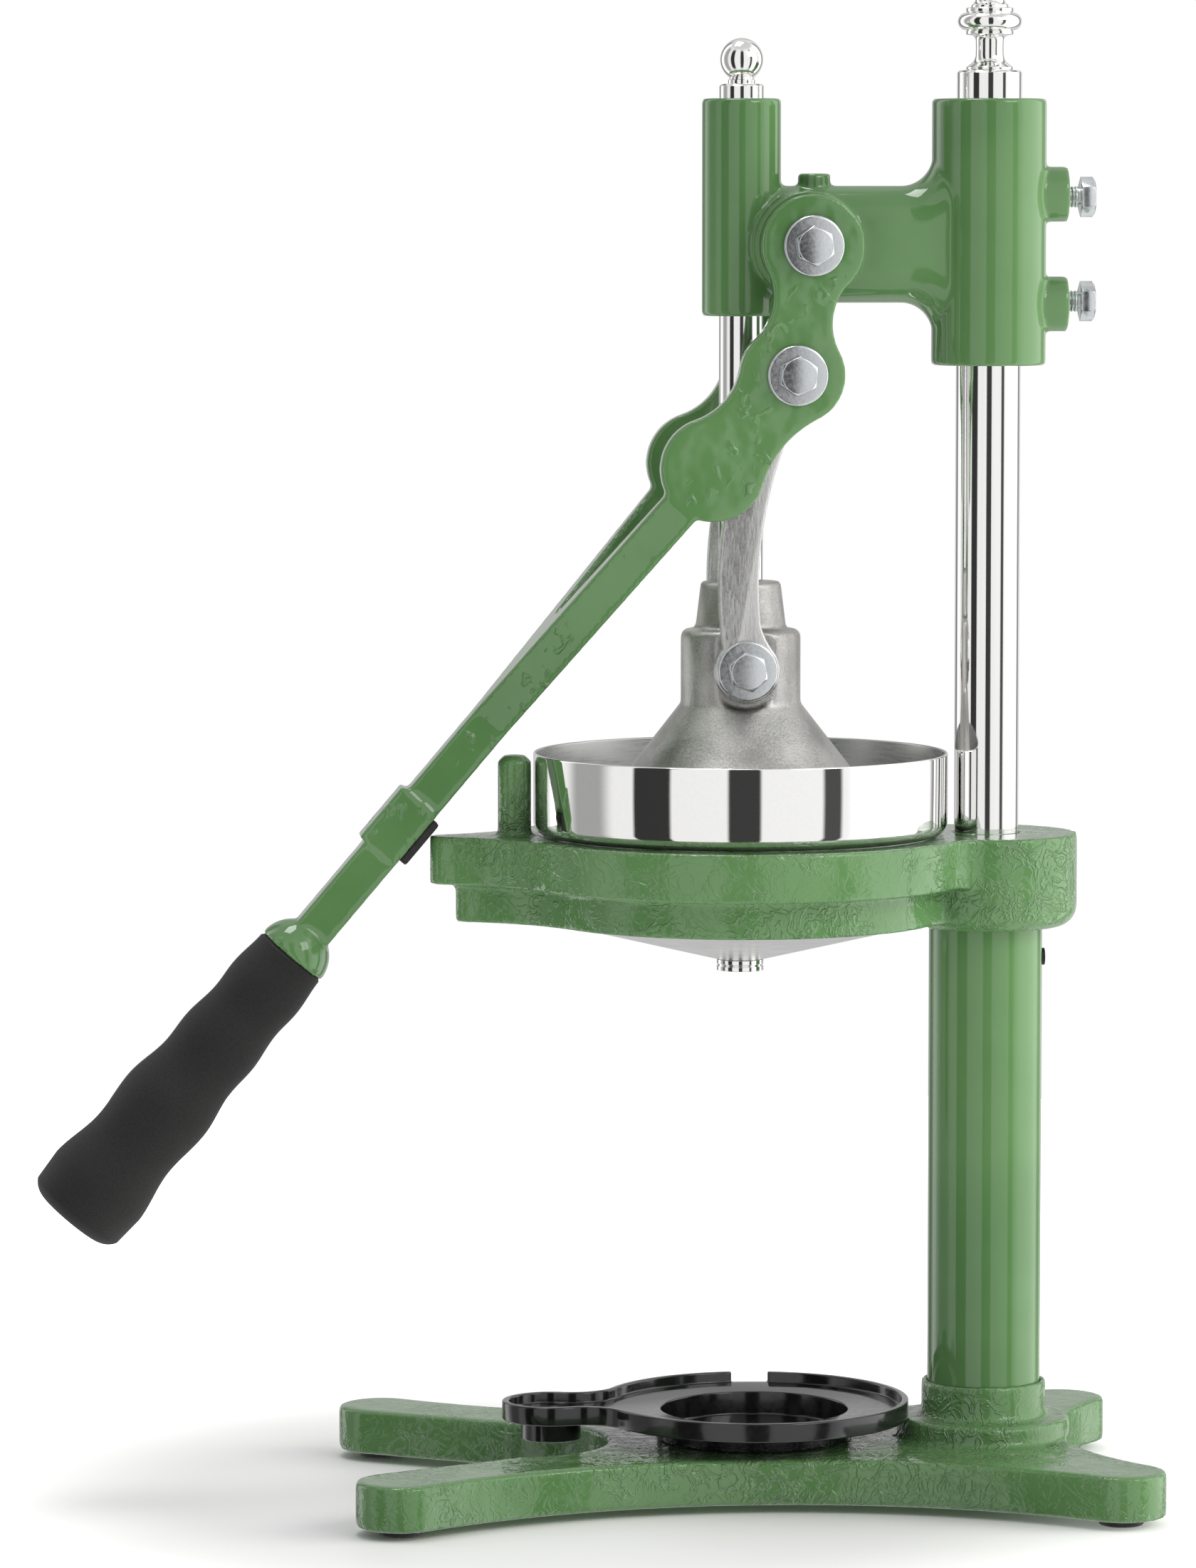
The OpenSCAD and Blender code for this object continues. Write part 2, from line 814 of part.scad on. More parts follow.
module outlet_spout() {
    color(steel) at_press() translate([0, 0, funnel_foot]) rotate_extrude() difference() {
        union() {
            translate([0, -spout_h]) square([spout_r, spout_h]);
            square([spout_neck_r, spout_neck_h]);
        }
        translate([0, -spout_h - cut]) square([spout_bore / 2, spout_h + spout_neck_h + cut * 2]);
        disc_at([spout_r, -spout_h / 2], spout_groove_r);
    }
}

// Head

// Side view of the cross bar's flat flanks, flared where they run into the clamp
module bar_flank() {
    half = bar_h / 2;
    reach = bar_flare_r + bar_r;
    translate([0, bar_z - half + bar_r]) square([column_x, bar_h - bar_t]);
    difference() {
        translate([bar_flare_x, bar_z - half - bar_flare_r])
            square([column_x - bar_flare_x, bar_h + bar_flare_r * 2]);
        for (side = [-1, 1])
            disc_at([bar_flare_x, bar_z + (half + bar_flare_r) * side], reach);
    }
}

// Cross bar with round top and bottom edges
module cross_bar() {
    half = bar_h / 2;
    along_y(-bar_r + lap * 2, bar_r - lap * 2) bar_flank();
    for (side = [-1, 1]) {
        cyl_x(bar_r, 0, column_x, bar_z + (half - bar_r) * side);
        translate([bar_flare_x, 0, bar_z + (half + bar_flare_r) * side]) rotate([90, 0, 0])
            rotate([0, 0, side > 0 ? -90 : 0]) rotate_extrude(angle = 90)
            translate([bar_flare_r + bar_r, 0]) circle(bar_r - lap);
    }
}

module head() {
    color(enamel) at_press() difference() {
        union() {
            translate([0, 0, guide_bottom]) chamfered_bar(guide_r, guide_l, edge);
            cross_bar();
            translate([column_x, 0, clamp_bottom]) chamfered_bar(clamp_r, clamp_l, edge);
            cyl_y(pivot_boss_r, -pivot_boss_y, pivot_boss_y, pivot);
            cyl_y(pivot_collar_r, -pivot_collar_y, pivot_collar_y, pivot);
            translate([oil_boss_x, 0, bar_z])
                cylinder(h = bar_h / 2 + oil_boss_h, r = oil_boss_r);
            for (share = clamp_screw_drop_shares)
                cyl_x(screw_boss_r, column_x, column_x + screw_boss_l,
                      head_top - clamp_l * share);
        }
        translate([0, 0, guide_bottom - cut]) cylinder(h = guide_l + cut * 2, r = bush_r + fit);
        translate([column_x, 0, clamp_bottom - cut])
            cylinder(h = clamp_l + cut * 2, r = column_r + fit);
        cyl_y(axle_r + fit, -pivot_collar_y - cut, pivot_collar_y + cut, pivot);
        for (share = clamp_screw_drop_shares)
            cyl_x(screw_r + fit, column_x, column_x + screw_boss_l + cut,
                  head_top - clamp_l * share);
        translate([oil_boss_x, 0, bar_z + bar_h / 2 + oil_boss_h - oil_hole_depth])
            cylinder(h = oil_hole_depth + cut, r = oil_hole_r);
    }
}

module guide_bushes() {
    color(bronze) at_press()
        for (z = [guide_bottom + bush_inset, head_top - bush_inset - bush_l])
            translate([0, 0, z]) difference() {
                cylinder(h = bush_l, r = bush_r);
                translate([0, 0, -cut]) cylinder(h = bush_l + cut * 2, r = rod_r + fit);
            }
}

module clamp_bolts() {
    x = screw_boss_l + clamp_screw_gap;
    color(zinc) at_press() for (share = clamp_screw_drop_shares)
        translate([column_x, 0, head_top - clamp_l * share]) {
            translate([x, 0, 0]) rotate([0, 90, 0]) hex_head(hex_af, hex_h);
            cyl_x(screw_r, column_r + slip, x, 0);
        }
}

module pivot_axle() {
    color(steel) at_press() difference() {
        cyl_y(axle_r, -axle_end, axle_end, pivot);
        both_sides() cyl_y(screw_r + fit, axle_end - thread_l, axle_end + cut, pivot);
    }
}

module pivot_washers() {
    color(zinc) at_press() both_sides() side_washer(pivot, axle_end);
}

module pivot_bolts() {
    color(zinc) at_press() both_sides()
        side_screw(pivot, axle_end + washer_t, axle_end - thread_l + edge);
}

// Lever

module fork_outline() {
    heel = crank - [crank_heel, 0];
    disc_at(pivot, pivot_lobe_r);
    strap(crank, crank_lobe_r, heel, crank_lobe_r);
    disc_at(elbow, elbow_r);
    web(pivot, pivot_lobe_r, crank, crank_lobe_r, neck_hollow_r, 1);
    web(pivot, pivot_lobe_r, heel, crank_lobe_r, neck_hollow_r, -1);
    web(crank, crank_lobe_r, elbow, elbow_r, belly_hollow_r, 1);
    web(heel, crank_lobe_r, elbow, elbow_r, throat_hollow_r, -1);
    polygon([pivot, crank, elbow, heel]);
}

// Fork and bar seen from above, with X along the bar
module arm_plan() {
    root_outer = fork_outer - lap * 2;
    root_inner = fork_inner + lap * 2;
    difference() {
        polygon([
            [0, -root_outer], [elbow_r, -root_outer], [fork_taper_end, -arm_t / 2],
            [arm_l, -arm_t / 2], [arm_l, arm_t / 2], [fork_taper_end, arm_t / 2],
            [elbow_r, root_outer], [0, root_outer]
        ]);
        polygon([
            [-cut, -root_inner], [elbow_r, -root_inner], [crotch_at - crotch_r, -crotch_r],
            [crotch_at - crotch_r, crotch_r], [elbow_r, root_inner], [-cut, root_inner]
        ]);
        disc_at([crotch_at - crotch_r, 0], crotch_r);
    }
}

module lever() {
    color(enamel) at_press() difference() {
        union() {
            both_sides() along_y(fork_inner, fork_outer) fork_outline();
            along_arm() {
                translate([0, 0, -arm_h / 2]) linear_extrude(arm_h) arm_plan();
                translate([block_at, -arm_t / 2 - block_proud, -arm_h / 2 - block_rise])
                    cube([block_l, arm_t + block_proud * 2, arm_h + block_rise]);
                translate([arm_l, 0, 0]) rotate([0, -90, 0]) rotate_extrude()
                    intersection() {
                        circle(collar_r);
                        square(collar_r);
                    }
                cyl_x(tang_r, arm_l - edge, arm_l + tang_l, 0);
            }
        }
        cyl_y(axle_r + fit, -fork_outer - cut, fork_outer + cut, pivot);
        cyl_y(screw_r + fit, -fork_outer - cut, fork_outer + cut, crank);
    }
}

module lever_bumper() {
    color(black) at_press() along_arm() translate([bumper_at, 0, arm_h / 2])
        linear_extrude(bumper_t) {
            translate([bumper_round_r, -bumper_w / 2])
                square([bumper_l - bumper_round_r * 2, bumper_w]);
            translate([0, bumper_round_r - bumper_w / 2])
                square([bumper_l, bumper_w - bumper_round_r * 2]);
            for (x = [bumper_round_r, bumper_l - bumper_round_r], side = [-1, 1])
                disc_at([x, side * (bumper_w / 2 - bumper_round_r)], bumper_round_r);
        }
}

module grip() {
    body_l = grip_l - grip_end_r;
    waves = len(grip_wave_shares) - 1;
    crests = [for (i = [0 : waves - 1], k = [0 : grip_steps - 1])
        let (a = grip_wave_shares[i], b = grip_wave_shares[i + 1], f = k / grip_steps)
        [eased(a[1], b[1], f) * grip_r, (a[0] + (b[0] - a[0]) * f) * grip_l]];
    end = [for (a = [90 : -10 : 0])
        [grip_r - grip_end_r + grip_end_r * sin(a), body_l + grip_end_r * cos(a)]];
    color(black) at_press() along_arm() translate([arm_l, 0, 0]) rotate([0, 90, 0])
        difference() {
            rotate_extrude() polygon(concat([[0, 0]], crests, end, [[0, grip_l]]));
            translate([0, 0, -cut]) cylinder(h = tang_l + edge + cut, r = tang_r + fit);
            translate([0, 0, grip_l - grip_step_h]) cylinder(h = cut, r = grip_step_r);
        }
}

module link_top_washers() {
    color(zinc) at_press() both_sides() side_washer(crank, fork_outer);
}

module link_top_bolts() {
    color(zinc) at_press() both_sides()
        side_screw(crank, fork_outer + washer_t, fork_inner + slip);
}

// Press bell

module bell_outer() {
    knee_z = bell_lip_z + bell_knee_rise;
    nozzle_z = bell_top - bell_nozzle_drop;
    polygon([
        [0, bell_lip_z], [bell_lip_r, bell_lip_z], [bell_knee_r, knee_z],
        [bell_hub_r, bell_hub_z], [0, bell_hub_z]
    ]);
    translate([0, bell_hub_z]) {
        square([bell_hub_r, nozzle_z - bell_hub_z - bell_shoulder_r]);
        square([bell_hub_r - bell_shoulder_r, nozzle_z - bell_hub_z]);
    }
    disc_at([bell_hub_r - bell_shoulder_r, nozzle_z - bell_shoulder_r], bell_shoulder_r);
    polygon([
        [0, bell_hub_z], [bell_nozzle_r, bell_hub_z], [bell_nozzle_r, nozzle_z],
        [bell_nozzle_top_r, bell_top - edge], [bell_nozzle_top_r - edge, bell_top],
        [0, bell_top]
    ]);
}

module bell_cavity() {
    knee_z = bell_lip_z + bell_knee_rise;
    polygon([
        [0, bell_lip_z - cut], [bell_lip_r - bell_wall, bell_lip_z - cut],
        [bell_lip_r - bell_wall, bell_lip_z], [bell_knee_r - bell_wall, knee_z],
        [bell_hub_r - bell_wall, bell_hub_z - bell_top_wall],
        [0, bell_hub_z - bell_top_wall]
    ]);
}

module press_bell() {
    room = bell_recess_r;
    color(alloy) at_press() difference() {
        rotate_extrude() bell_outer();
        rotate_extrude() bell_cavity();
        translate([0, 0, bell_top - rod_stud_l - edge])
            cylinder(h = rod_stud_l + edge + cut, r = rod_stud_r + fit);
        both_sides() {
            cyl_y(room, bell_flat_y, bell_hub_r + cut, bell_pin);
            translate([-room, bell_flat_y, bell_pin_z])
                cube([room * 2, bell_hub_r, bell_top - bell_pin_z]);
            cyl_y(screw_r + fit, bell_screw_end, bell_flat_y + cut, bell_pin);
        }
    }
}

module guide_rod() {
    color(steel) at_press() {
        translate([0, 0, bell_top]) chamfered_bar(rod_r, rod_top - bell_top, edge);
        translate([0, 0, bell_top - rod_stud_l])
            cylinder(h = rod_stud_l + edge, r = rod_stud_r);
        translate([0, 0, rod_top - edge]) cylinder(h = rod_neck_l + edge, r = rod_neck_r);
        translate([0, 0, rod_top]) cylinder(h = rod_neck_l + ball_stud_l, r = ball_stud_r);
    }
}

module rod_ball() {
    color(steel) at_press() translate([0, 0, rod_top + rod_neck_l]) difference() {
        translate([0, 0, ball_r - ball_sink]) sphere(ball_r);
        translate([-ball_r, -ball_r, -ball_d]) cube([ball_d, ball_d, ball_d]);
        translate([0, 0, -cut]) cylinder(h = ball_stud_l + edge + cut, r = ball_stud_r + fit);
    }
}

module link_bottom_washers() {
    color(zinc) at_press() both_sides() side_washer(bell_pin, link_outer + fit);
}

module link_bottom_bolts() {
    color(zinc) at_press() both_sides()
        side_screw(bell_pin, link_outer + fit + washer_t, bell_screw_end + edge);
}

// Links

// Hollow flank between a link's lower eye and the inner edge of its bowed strip
module link_flank(centre, arc_r) {
    edge_r = arc_r - link_w / 2;
    p = fillet_centre(bell_pin, link_eye_r, centre,
                      edge_r - link_flank_r * 2 + link_flank_lap, link_flank_r, 1);
    difference() {
        polygon([
            bell_pin, towards(bell_pin, link_eye_r, p), towards(centre, edge_r, p),
            towards(centre, arc_r, p)
        ]);
        disc_at(p, link_flank_r + lap);
    }
}

module link_outline() {
    chord = norm(crank - bell_pin);
    u = (crank - bell_pin) / chord;
    n = [u[1], -u[0]];
    arc_r = (pow(chord / 2, 2) + pow(link_bow, 2)) / (2 * link_bow);
    centre = (crank + bell_pin) / 2 + n * (arc_r - link_bow);
    intersection() {
        difference() {
            disc_at(centre, arc_r + link_w / 2);
            disc_at(centre, arc_r - link_w / 2);
        }
        polygon([centre, centre + (bell_pin - centre) * 2, centre + (crank - centre) * 2]);
    }
    disc_at(bell_pin, link_eye_r);
    disc_at(crank, link_eye_r);
    link_flank(centre, arc_r);
}

module link(y0) {
    color(steel) at_press() difference() {
        along_y(y0, y0 + link_t) link_outline();
        cyl_y(screw_r + fit, y0 - cut, y0 + link_t + cut, bell_pin);
        cyl_y(screw_r + fit, y0 - cut, y0 + link_t + cut, crank);
    }
}

module link_front() {
    link(-link_outer);
}

module link_rear() {
    link(link_inner);
}

// Glass ring

module ring_outline(inset) {
    c = [ring_x, 0];
    l = [-loop_x, 0];
    disc_at(c, ring_r - inset);
    disc_at(l, loop_r - inset);
    for (side = [-1, 1])
        web(c, ring_r - inset, l, loop_r - inset, ring_waist_r + inset, side);
}

module glass_ring() {
    plate_top = ring_z + ring_plate_t;
    color(black) at_press() difference() {
        union() {
            translate([0, 0, ring_z]) linear_extrude(ring_plate_t) ring_outline(0);
            translate([0, 0, ring_z]) linear_extrude(ring_rim_h) difference() {
                ring_outline(0);
                ring_outline(ring_rim_t);
            }
            translate([ring_x, 0, base_top])
                cylinder(h = plate_top - base_top, r = well_r + well_wall);
            translate([-loop_x, 0, plate_top - loop_stub_h])
                cylinder(h = loop_stub_h, r = loop_stub_r);
        }
        translate([ring_x, 0, base_top + well_wall]) cylinder(h = plate_top, r = well_r);
        translate([-loop_x, 0, plate_top - loop_stub_h + well_wall])
            cylinder(h = plate_top, r = loop_pit_r);
        translate([ring_gap_x - ring_gap / 2, ring_r / 2, plate_top])
            cube([ring_gap, ring_r, ring_rim_h]);
    }
}

base();
base_feet();
base_washer();
base_nut();
column();
stand_tube();
tube_set_screw();
bowl_carrier();
press_cup();
strainer();
reamer();
funnel();
outlet_spout();
column_finial();
head();
guide_bushes();
clamp_bolts();
pivot_axle();
pivot_washers();
pivot_bolts();
lever();
lever_bumper();
grip();
link_top_washers();
link_top_bolts();
press_bell();
guide_rod();
rod_ball();
link_bottom_washers();
link_bottom_bolts();
link_front();
link_rear();
glass_ring();
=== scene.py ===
"""Looks of a lever citrus juice press: its finishes, its detailed pieces and a plain studio."""

import logging
import math
from dataclasses import dataclass
from enum import Enum

import bpy
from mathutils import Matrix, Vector


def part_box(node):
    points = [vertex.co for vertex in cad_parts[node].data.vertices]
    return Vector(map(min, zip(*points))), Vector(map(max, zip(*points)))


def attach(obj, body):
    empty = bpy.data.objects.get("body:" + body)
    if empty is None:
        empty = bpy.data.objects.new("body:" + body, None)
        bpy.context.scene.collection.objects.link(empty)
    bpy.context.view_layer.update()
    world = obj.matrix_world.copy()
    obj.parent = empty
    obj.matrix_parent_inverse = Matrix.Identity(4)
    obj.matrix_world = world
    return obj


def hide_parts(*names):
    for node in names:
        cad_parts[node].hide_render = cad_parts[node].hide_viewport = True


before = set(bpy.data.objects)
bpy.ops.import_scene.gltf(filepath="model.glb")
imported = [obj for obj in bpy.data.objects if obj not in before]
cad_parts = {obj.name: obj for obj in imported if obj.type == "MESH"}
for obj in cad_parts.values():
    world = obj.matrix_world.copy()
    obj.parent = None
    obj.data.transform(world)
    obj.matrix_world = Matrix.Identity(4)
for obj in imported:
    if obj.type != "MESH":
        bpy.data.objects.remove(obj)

MM = 0.001
log = logging.getLogger("juice_press")

Rgb = tuple[float, float, float]
Outline = list[tuple[float, float]]


class Pointing(Enum):
    """Way in which a turned piece or a screw points."""

    UP = (0.0, 0.0, 1.0)
    RIGHT = (1.0, 0.0, 0.0)
    FRONT = (0.0, -1.0, 0.0)
    BACK = (0.0, 1.0, 0.0)

    @property
    def vector(self) -> Vector:
        """The direction as a vector."""
        return Vector(self.value)


class Skin(Enum):
    """How the surface under the enamel was made."""

    TURNED = "turned"
    FETTLED = "fettled"
    SAND_CAST = "sand_cast"


class Slot(Enum):
    """Names of the material slots."""

    ENAMEL = "green_enamel"
    POLISHED = "polished_steel"
    GROUND = "ground_steel"
    ZINC = "zinc_plate"
    ALUMINIUM = "cast_aluminium"
    BRONZE = "bronze"
    RUBBER = "black_rubber"
    GRIP = "black_grip"
    PLASTIC = "black_plastic"
    OXIDE = "black_oxide"


# Materials


class Recipe:
    """Node graph of one material, put together step by step on Object coordinates."""

    def __init__(self, name: str) -> None:
        """Starts a material with a bare principled shader.

        Args:
            name: Name of the material.
        """
        self.material = bpy.data.materials.new(name)
        self.material.use_nodes = True
        self.tree = self.material.node_tree
        self.tree.nodes.clear()
        self.shader = self.tree.nodes.new("ShaderNodeBsdfPrincipled")
        output = self.tree.nodes.new("ShaderNodeOutputMaterial")
        self.tree.links.new(self.shader.outputs["BSDF"], output.inputs["Surface"])
        self.coords = self.tree.nodes.new("ShaderNodeTexCoord").outputs["Object"]

    def link(self, source: bpy.types.NodeSocket, target: bpy.types.NodeSocket) -> None:
        """Joins two sockets."""
        self.tree.links.new(source, target)

    def plain(self, **values: object) -> None:
        """Sets uniform values on the shader's own sockets, with _ for a space in a name."""
        for name, value in values.items():
            self.shader.inputs[name.replace("_", " ")].default_value = value

    def drive(self, name: str, source: bpy.types.NodeSocket) -> None:
        """Joins a varying value to one of the shader's sockets."""
        self.link(source, self.shader.inputs[name])

    def mapping(self, scale: Rgb, turn: Rgb = (0.0, 0.0, 0.0)) -> bpy.types.NodeSocket:
        """Stretches and turns the pattern's coordinates.

        Args:
            scale: Scale along each axis.
            turn: Turn about each axis, in degrees.

        Returns:
            The mapped vector.
        """
        node = self.tree.nodes.new("ShaderNodeMapping")
        self.link(self.coords, node.inputs["Vector"])
        node.inputs["Scale"].default_value = scale
        node.inputs["Rotation"].default_value = [math.radians(a) for a in turn]
        return node.outputs["Vector"]

    def noise(self, scale: float, detail: float = 2.0, rough: float = 0.5,
              twist: float = 0.0, at: bpy.types.NodeSocket | None = None) -> bpy.types.NodeSocket:
        """Adds a noise pattern.

        Args:
            scale: Cells per metre.
            detail: Octaves of finer noise.
            rough: Share of each finer octave.
            twist: Distortion of the pattern.
            at: Vector that the pattern follows, or none for Object coordinates.

        Returns:
            The pattern, from 0 to 1.
        """
        node = self.tree.nodes.new("ShaderNodeTexNoise")
        self.link(at or self.coords, node.inputs["Vector"])
        node.inputs["Scale"].default_value = scale
        node.inputs["Detail"].default_value = detail
        node.inputs["Roughness"].default_value = rough
        node.inputs["Distortion"].default_value = twist
        return node.outputs["Fac"]

    def cells(self, scale: float, at: bpy.types.NodeSocket | None = None) -> bpy.types.NodeSocket:
        """Adds soft rounded cells and returns the distance from their middles."""
        node = self.tree.nodes.new("ShaderNodeTexVoronoi")
        node.feature = "SMOOTH_F1"
        self.link(at or self.coords, node.inputs["Vector"])
        node.inputs["Scale"].default_value = scale
        node.inputs["Smoothness"].default_value = 0.6
        return node.outputs["Distance"]

    def span(self, source: bpy.types.NodeSocket, low: float, high: float,
             start: float, end: float) -> bpy.types.NodeSocket:
        """Maps a pattern's range to another one, eased at both ends.

        Args:
            source: The pattern.
            low: Value that gives start.
            high: Value that gives end.
            start: Lowest output.
            end: Highest output.

        Returns:
            The mapped value.
        """
        node = self.tree.nodes.new("ShaderNodeMapRange")
        node.interpolation_type = "SMOOTHSTEP"
        self.link(source, node.inputs["Value"])
        for name, value in zip(("From Min", "From Max", "To Min", "To Max"),
                               (low, high, start, end)):
            node.inputs[name].default_value = value
        return node.outputs["Result"]

    def maths(self, kind: str, a: bpy.types.NodeSocket,
              b: bpy.types.NodeSocket | float) -> bpy.types.NodeSocket:
        """Joins two values with a Math node of the given kind."""
        node = self.tree.nodes.new("ShaderNodeMath")
        node.operation = kind
        self.link(a, node.inputs[0])
        if isinstance(b, float):
            node.inputs[1].default_value = b
        else:
            self.link(b, node.inputs[1])
        return node.outputs["Value"]

    def colours(self, factor: bpy.types.NodeSocket, a: Rgb, b: Rgb) -> bpy.types.NodeSocket:
        """Mixes two colours by a pattern and returns the mixed colour."""
        node = self.tree.nodes.new("ShaderNodeMix")
        node.data_type = "RGBA"
        self.link(factor, node.inputs["Factor"])
        for socket, colour in ((node.inputs[6], a), (node.inputs[7], b)):
            socket.default_value = (*colour, 1.0)
        return node.outputs[2]

    def relief(self, height: bpy.types.NodeSocket, strength: float, depth: float,
               under: bpy.types.NodeSocket | None = None) -> bpy.types.NodeSocket:
        """Raises the surface by a pattern.

        Args:
            height: The pattern.
            strength: Share of the relief that shows.
            depth: Height of the relief in metres.
            under: Normal of a coarser relief beneath this one.

        Returns:
            The bent normal.
        """
        node = self.tree.nodes.new("ShaderNodeBump")
        self.link(height, node.inputs["Height"])
        node.inputs["Strength"].default_value = strength
        node.inputs["Distance"].default_value = depth
        if under is not None:
            self.link(under, node.inputs["Normal"])
        return node.outputs["Normal"]

    def soft_edges(self, radius: float) -> bpy.types.NodeSocket:
        """Rounds sharp edges in the shading and returns the normal."""
        node = self.tree.nodes.new("ShaderNodeBevel")
        node.samples = 4
        node.inputs["Radius"].default_value = radius
        return node.outputs["Normal"]


@dataclass(frozen=True)
class Enamel:
    """Glossy green enamel, smooth on turned parts and dented on castings."""

    name: str
    skin: Skin
    deep: Rgb = (0.075, 0.171, 0.058)
    pale: Rgb = (0.094, 0.2, 0.072)

    def build(self) -> bpy.types.Material:
        """Makes the material.

        Returns:
            The finished material.
        """
        r = Recipe(self.name)
        drift = r.noise(14.0, 3.0)
        r.drive("Base Color", r.colours(r.span(drift, 0.35, 0.65, 0.0, 1.0), self.deep, self.pale))
        r.plain(IOR=1.5, Coat_Weight=0.28, Coat_Roughness=0.025, Coat_IOR=1.5)
        if self.skin is Skin.TURNED:
            r.drive("Roughness", r.span(r.noise(90.0, 3.0), 0.3, 0.7, 0.045, 0.08))
            broad = r.relief(r.noise(45.0, 2.0), 0.1, 0.0005)
            normal = r.relief(r.noise(420.0, 1.0), 0.04, 0.0001, broad)
        elif self.skin is Skin.FETTLED:
            r.drive("Roughness", r.span(r.noise(60.0, 4.0), 0.3, 0.7, 0.05, 0.1))
            patches = r.span(r.noise(26.0, 2.0, twist=0.5), 0.5, 0.62, 0.0, 1.0)
            pits = r.span(r.noise(190.0, 1.0, 0.4, 0.8), 0.6, 0.72, 0.0, 1.0)
            swell = r.relief(r.noise(55.0, 2.0), 0.5, 0.0009)
            normal = r.relief(r.maths("MULTIPLY", pits, patches), 0.9, 0.0007, swell)
        else:
            r.drive("Roughness", r.span(r.noise(60.0, 4.0), 0.3, 0.7, 0.05, 0.11))
            patches = r.span(r.noise(24.0, 2.0, twist=0.6), 0.44, 0.58, 0.12, 1.0)
            ridge = r.maths("SUBTRACT", r.noise(95.0, 2.0, 0.5, 2.2), 0.5)
            crease = r.maths("ABSOLUTE", ridge, 0.0)
            worms = r.span(crease, 0.0, 0.06, 1.0, 0.0)
            pits = r.span(r.noise(300.0, 1.5, 0.5, 1.2), 0.54, 0.68, 0.0, 0.7)
            dents = r.maths("MULTIPLY", r.maths("MAXIMUM", worms, pits), patches)
            swell = r.relief(r.noise(70.0, 2.0), 0.55, 0.001)
            normal = r.relief(dents, 0.8, 0.0006, swell)
        r.drive("Normal", normal)
        r.drive("Coat Normal", normal)
        return r.material


@dataclass(frozen=True)
class BrightSteel:
    """Polished or ground steel with fine marks in one direction."""

    name: str
    tint: Rgb
    smooth: float
    rough: float
    marks: float
    scale: Rgb
    turn: Rgb = (0.0, 0.0, 0.0)
    edge: float = 0.0004
    streak: float = 0.8

    def build(self) -> bpy.types.Material:
        """Makes the material.

        Returns:
            The finished material.
        """
        r = Recipe(self.name)
        lines = r.noise(1.0, 5.0, 0.65, at=r.mapping(self.scale, self.turn))
        haze = r.noise(35.0, 4.0)
        dull = (self.tint[0] * self.streak, self.tint[1] * self.streak, self.tint[2] * self.streak)
        r.drive("Base Color", r.colours(r.span(lines, 0.3, 0.7, 0.0, 1.0), dull, self.tint))
        mixed = r.maths("MULTIPLY", r.span(lines, 0.3, 0.7, 0.5, 1.0),
                        r.span(haze, 0.3, 0.7, 0.7, 1.0))
        r.drive("Roughness", r.span(mixed, 0.3, 1.0, self.smooth, self.rough))
        r.drive("Normal", r.relief(lines, self.marks, 0.00012, r.soft_edges(self.edge)))
        r.plain(Metallic=1.0)
        return r.material


@dataclass(frozen=True)
class GrainyMetal:
    """Blasted, plated or turned metal with an even grain and cloudy patches."""

    name: str
    dark: Rgb
    light: Rgb
    smooth: float
    rough: float
    grain: float
    grain_scale: float
    metallic: float = 1.0

    def build(self) -> bpy.types.Material:
        """Makes the material.

        Returns:
            The finished material.
        """
        r = Recipe(self.name)
        cloud = r.noise(38.0, 5.0, 0.6)
        speck = r.noise(self.grain_scale, 3.0, 0.7)
        both = r.maths("ADD", r.maths("MULTIPLY", cloud, 0.6), r.maths("MULTIPLY", speck, 0.4))
        r.drive("Base Color", r.colours(r.span(both, 0.38, 0.62, 0.0, 1.0), self.dark, self.light))
        r.drive("Roughness", r.span(both, 0.35, 0.65, self.smooth, self.rough))
        fine = r.relief(speck, self.grain, 0.0003, r.soft_edges(0.0003))
        r.drive("Normal", r.relief(r.cells(self.grain_scale * 0.7), self.grain * 0.5, 0.0002, fine))
        r.plain(Metallic=self.metallic)
        return r.material


@dataclass(frozen=True)
class BlackMoulding:
    """Black rubber, foam or plastic with its moulded grain."""

    name: str
    deep: Rgb
    worn: Rgb
    smooth: float
    rough: float
    grain: float
    grain_scale: float
    coat: float = 0.0
    sheen: float = 0.0

    def build(self) -> bpy.types.Material:
        """Makes the material.

        Returns:
            The finished material.
        """
        r = Recipe(self.name)
        dust = r.noise(22.0, 5.0, 0.62)
        skin = r.noise(self.grain_scale, 3.0, 0.6)
        r.drive("Base Color", r.colours(r.span(dust, 0.4, 0.7, 0.0, 1.0), self.deep, self.worn))
        r.drive("Roughness", r.span(skin, 0.3, 0.7, self.smooth, self.rough))
        broad = r.relief(r.cells(self.grain_scale * 0.5), self.grain * 0.5, 0.0003,
                         r.soft_edges(0.0004))
        r.drive("Normal", r.relief(skin, self.grain, 0.00025, broad))
        r.plain(Coat_Weight=self.coat, Coat_Roughness=0.06, Sheen_Weight=self.sheen,
                Sheen_Roughness=0.6)
        return r.material


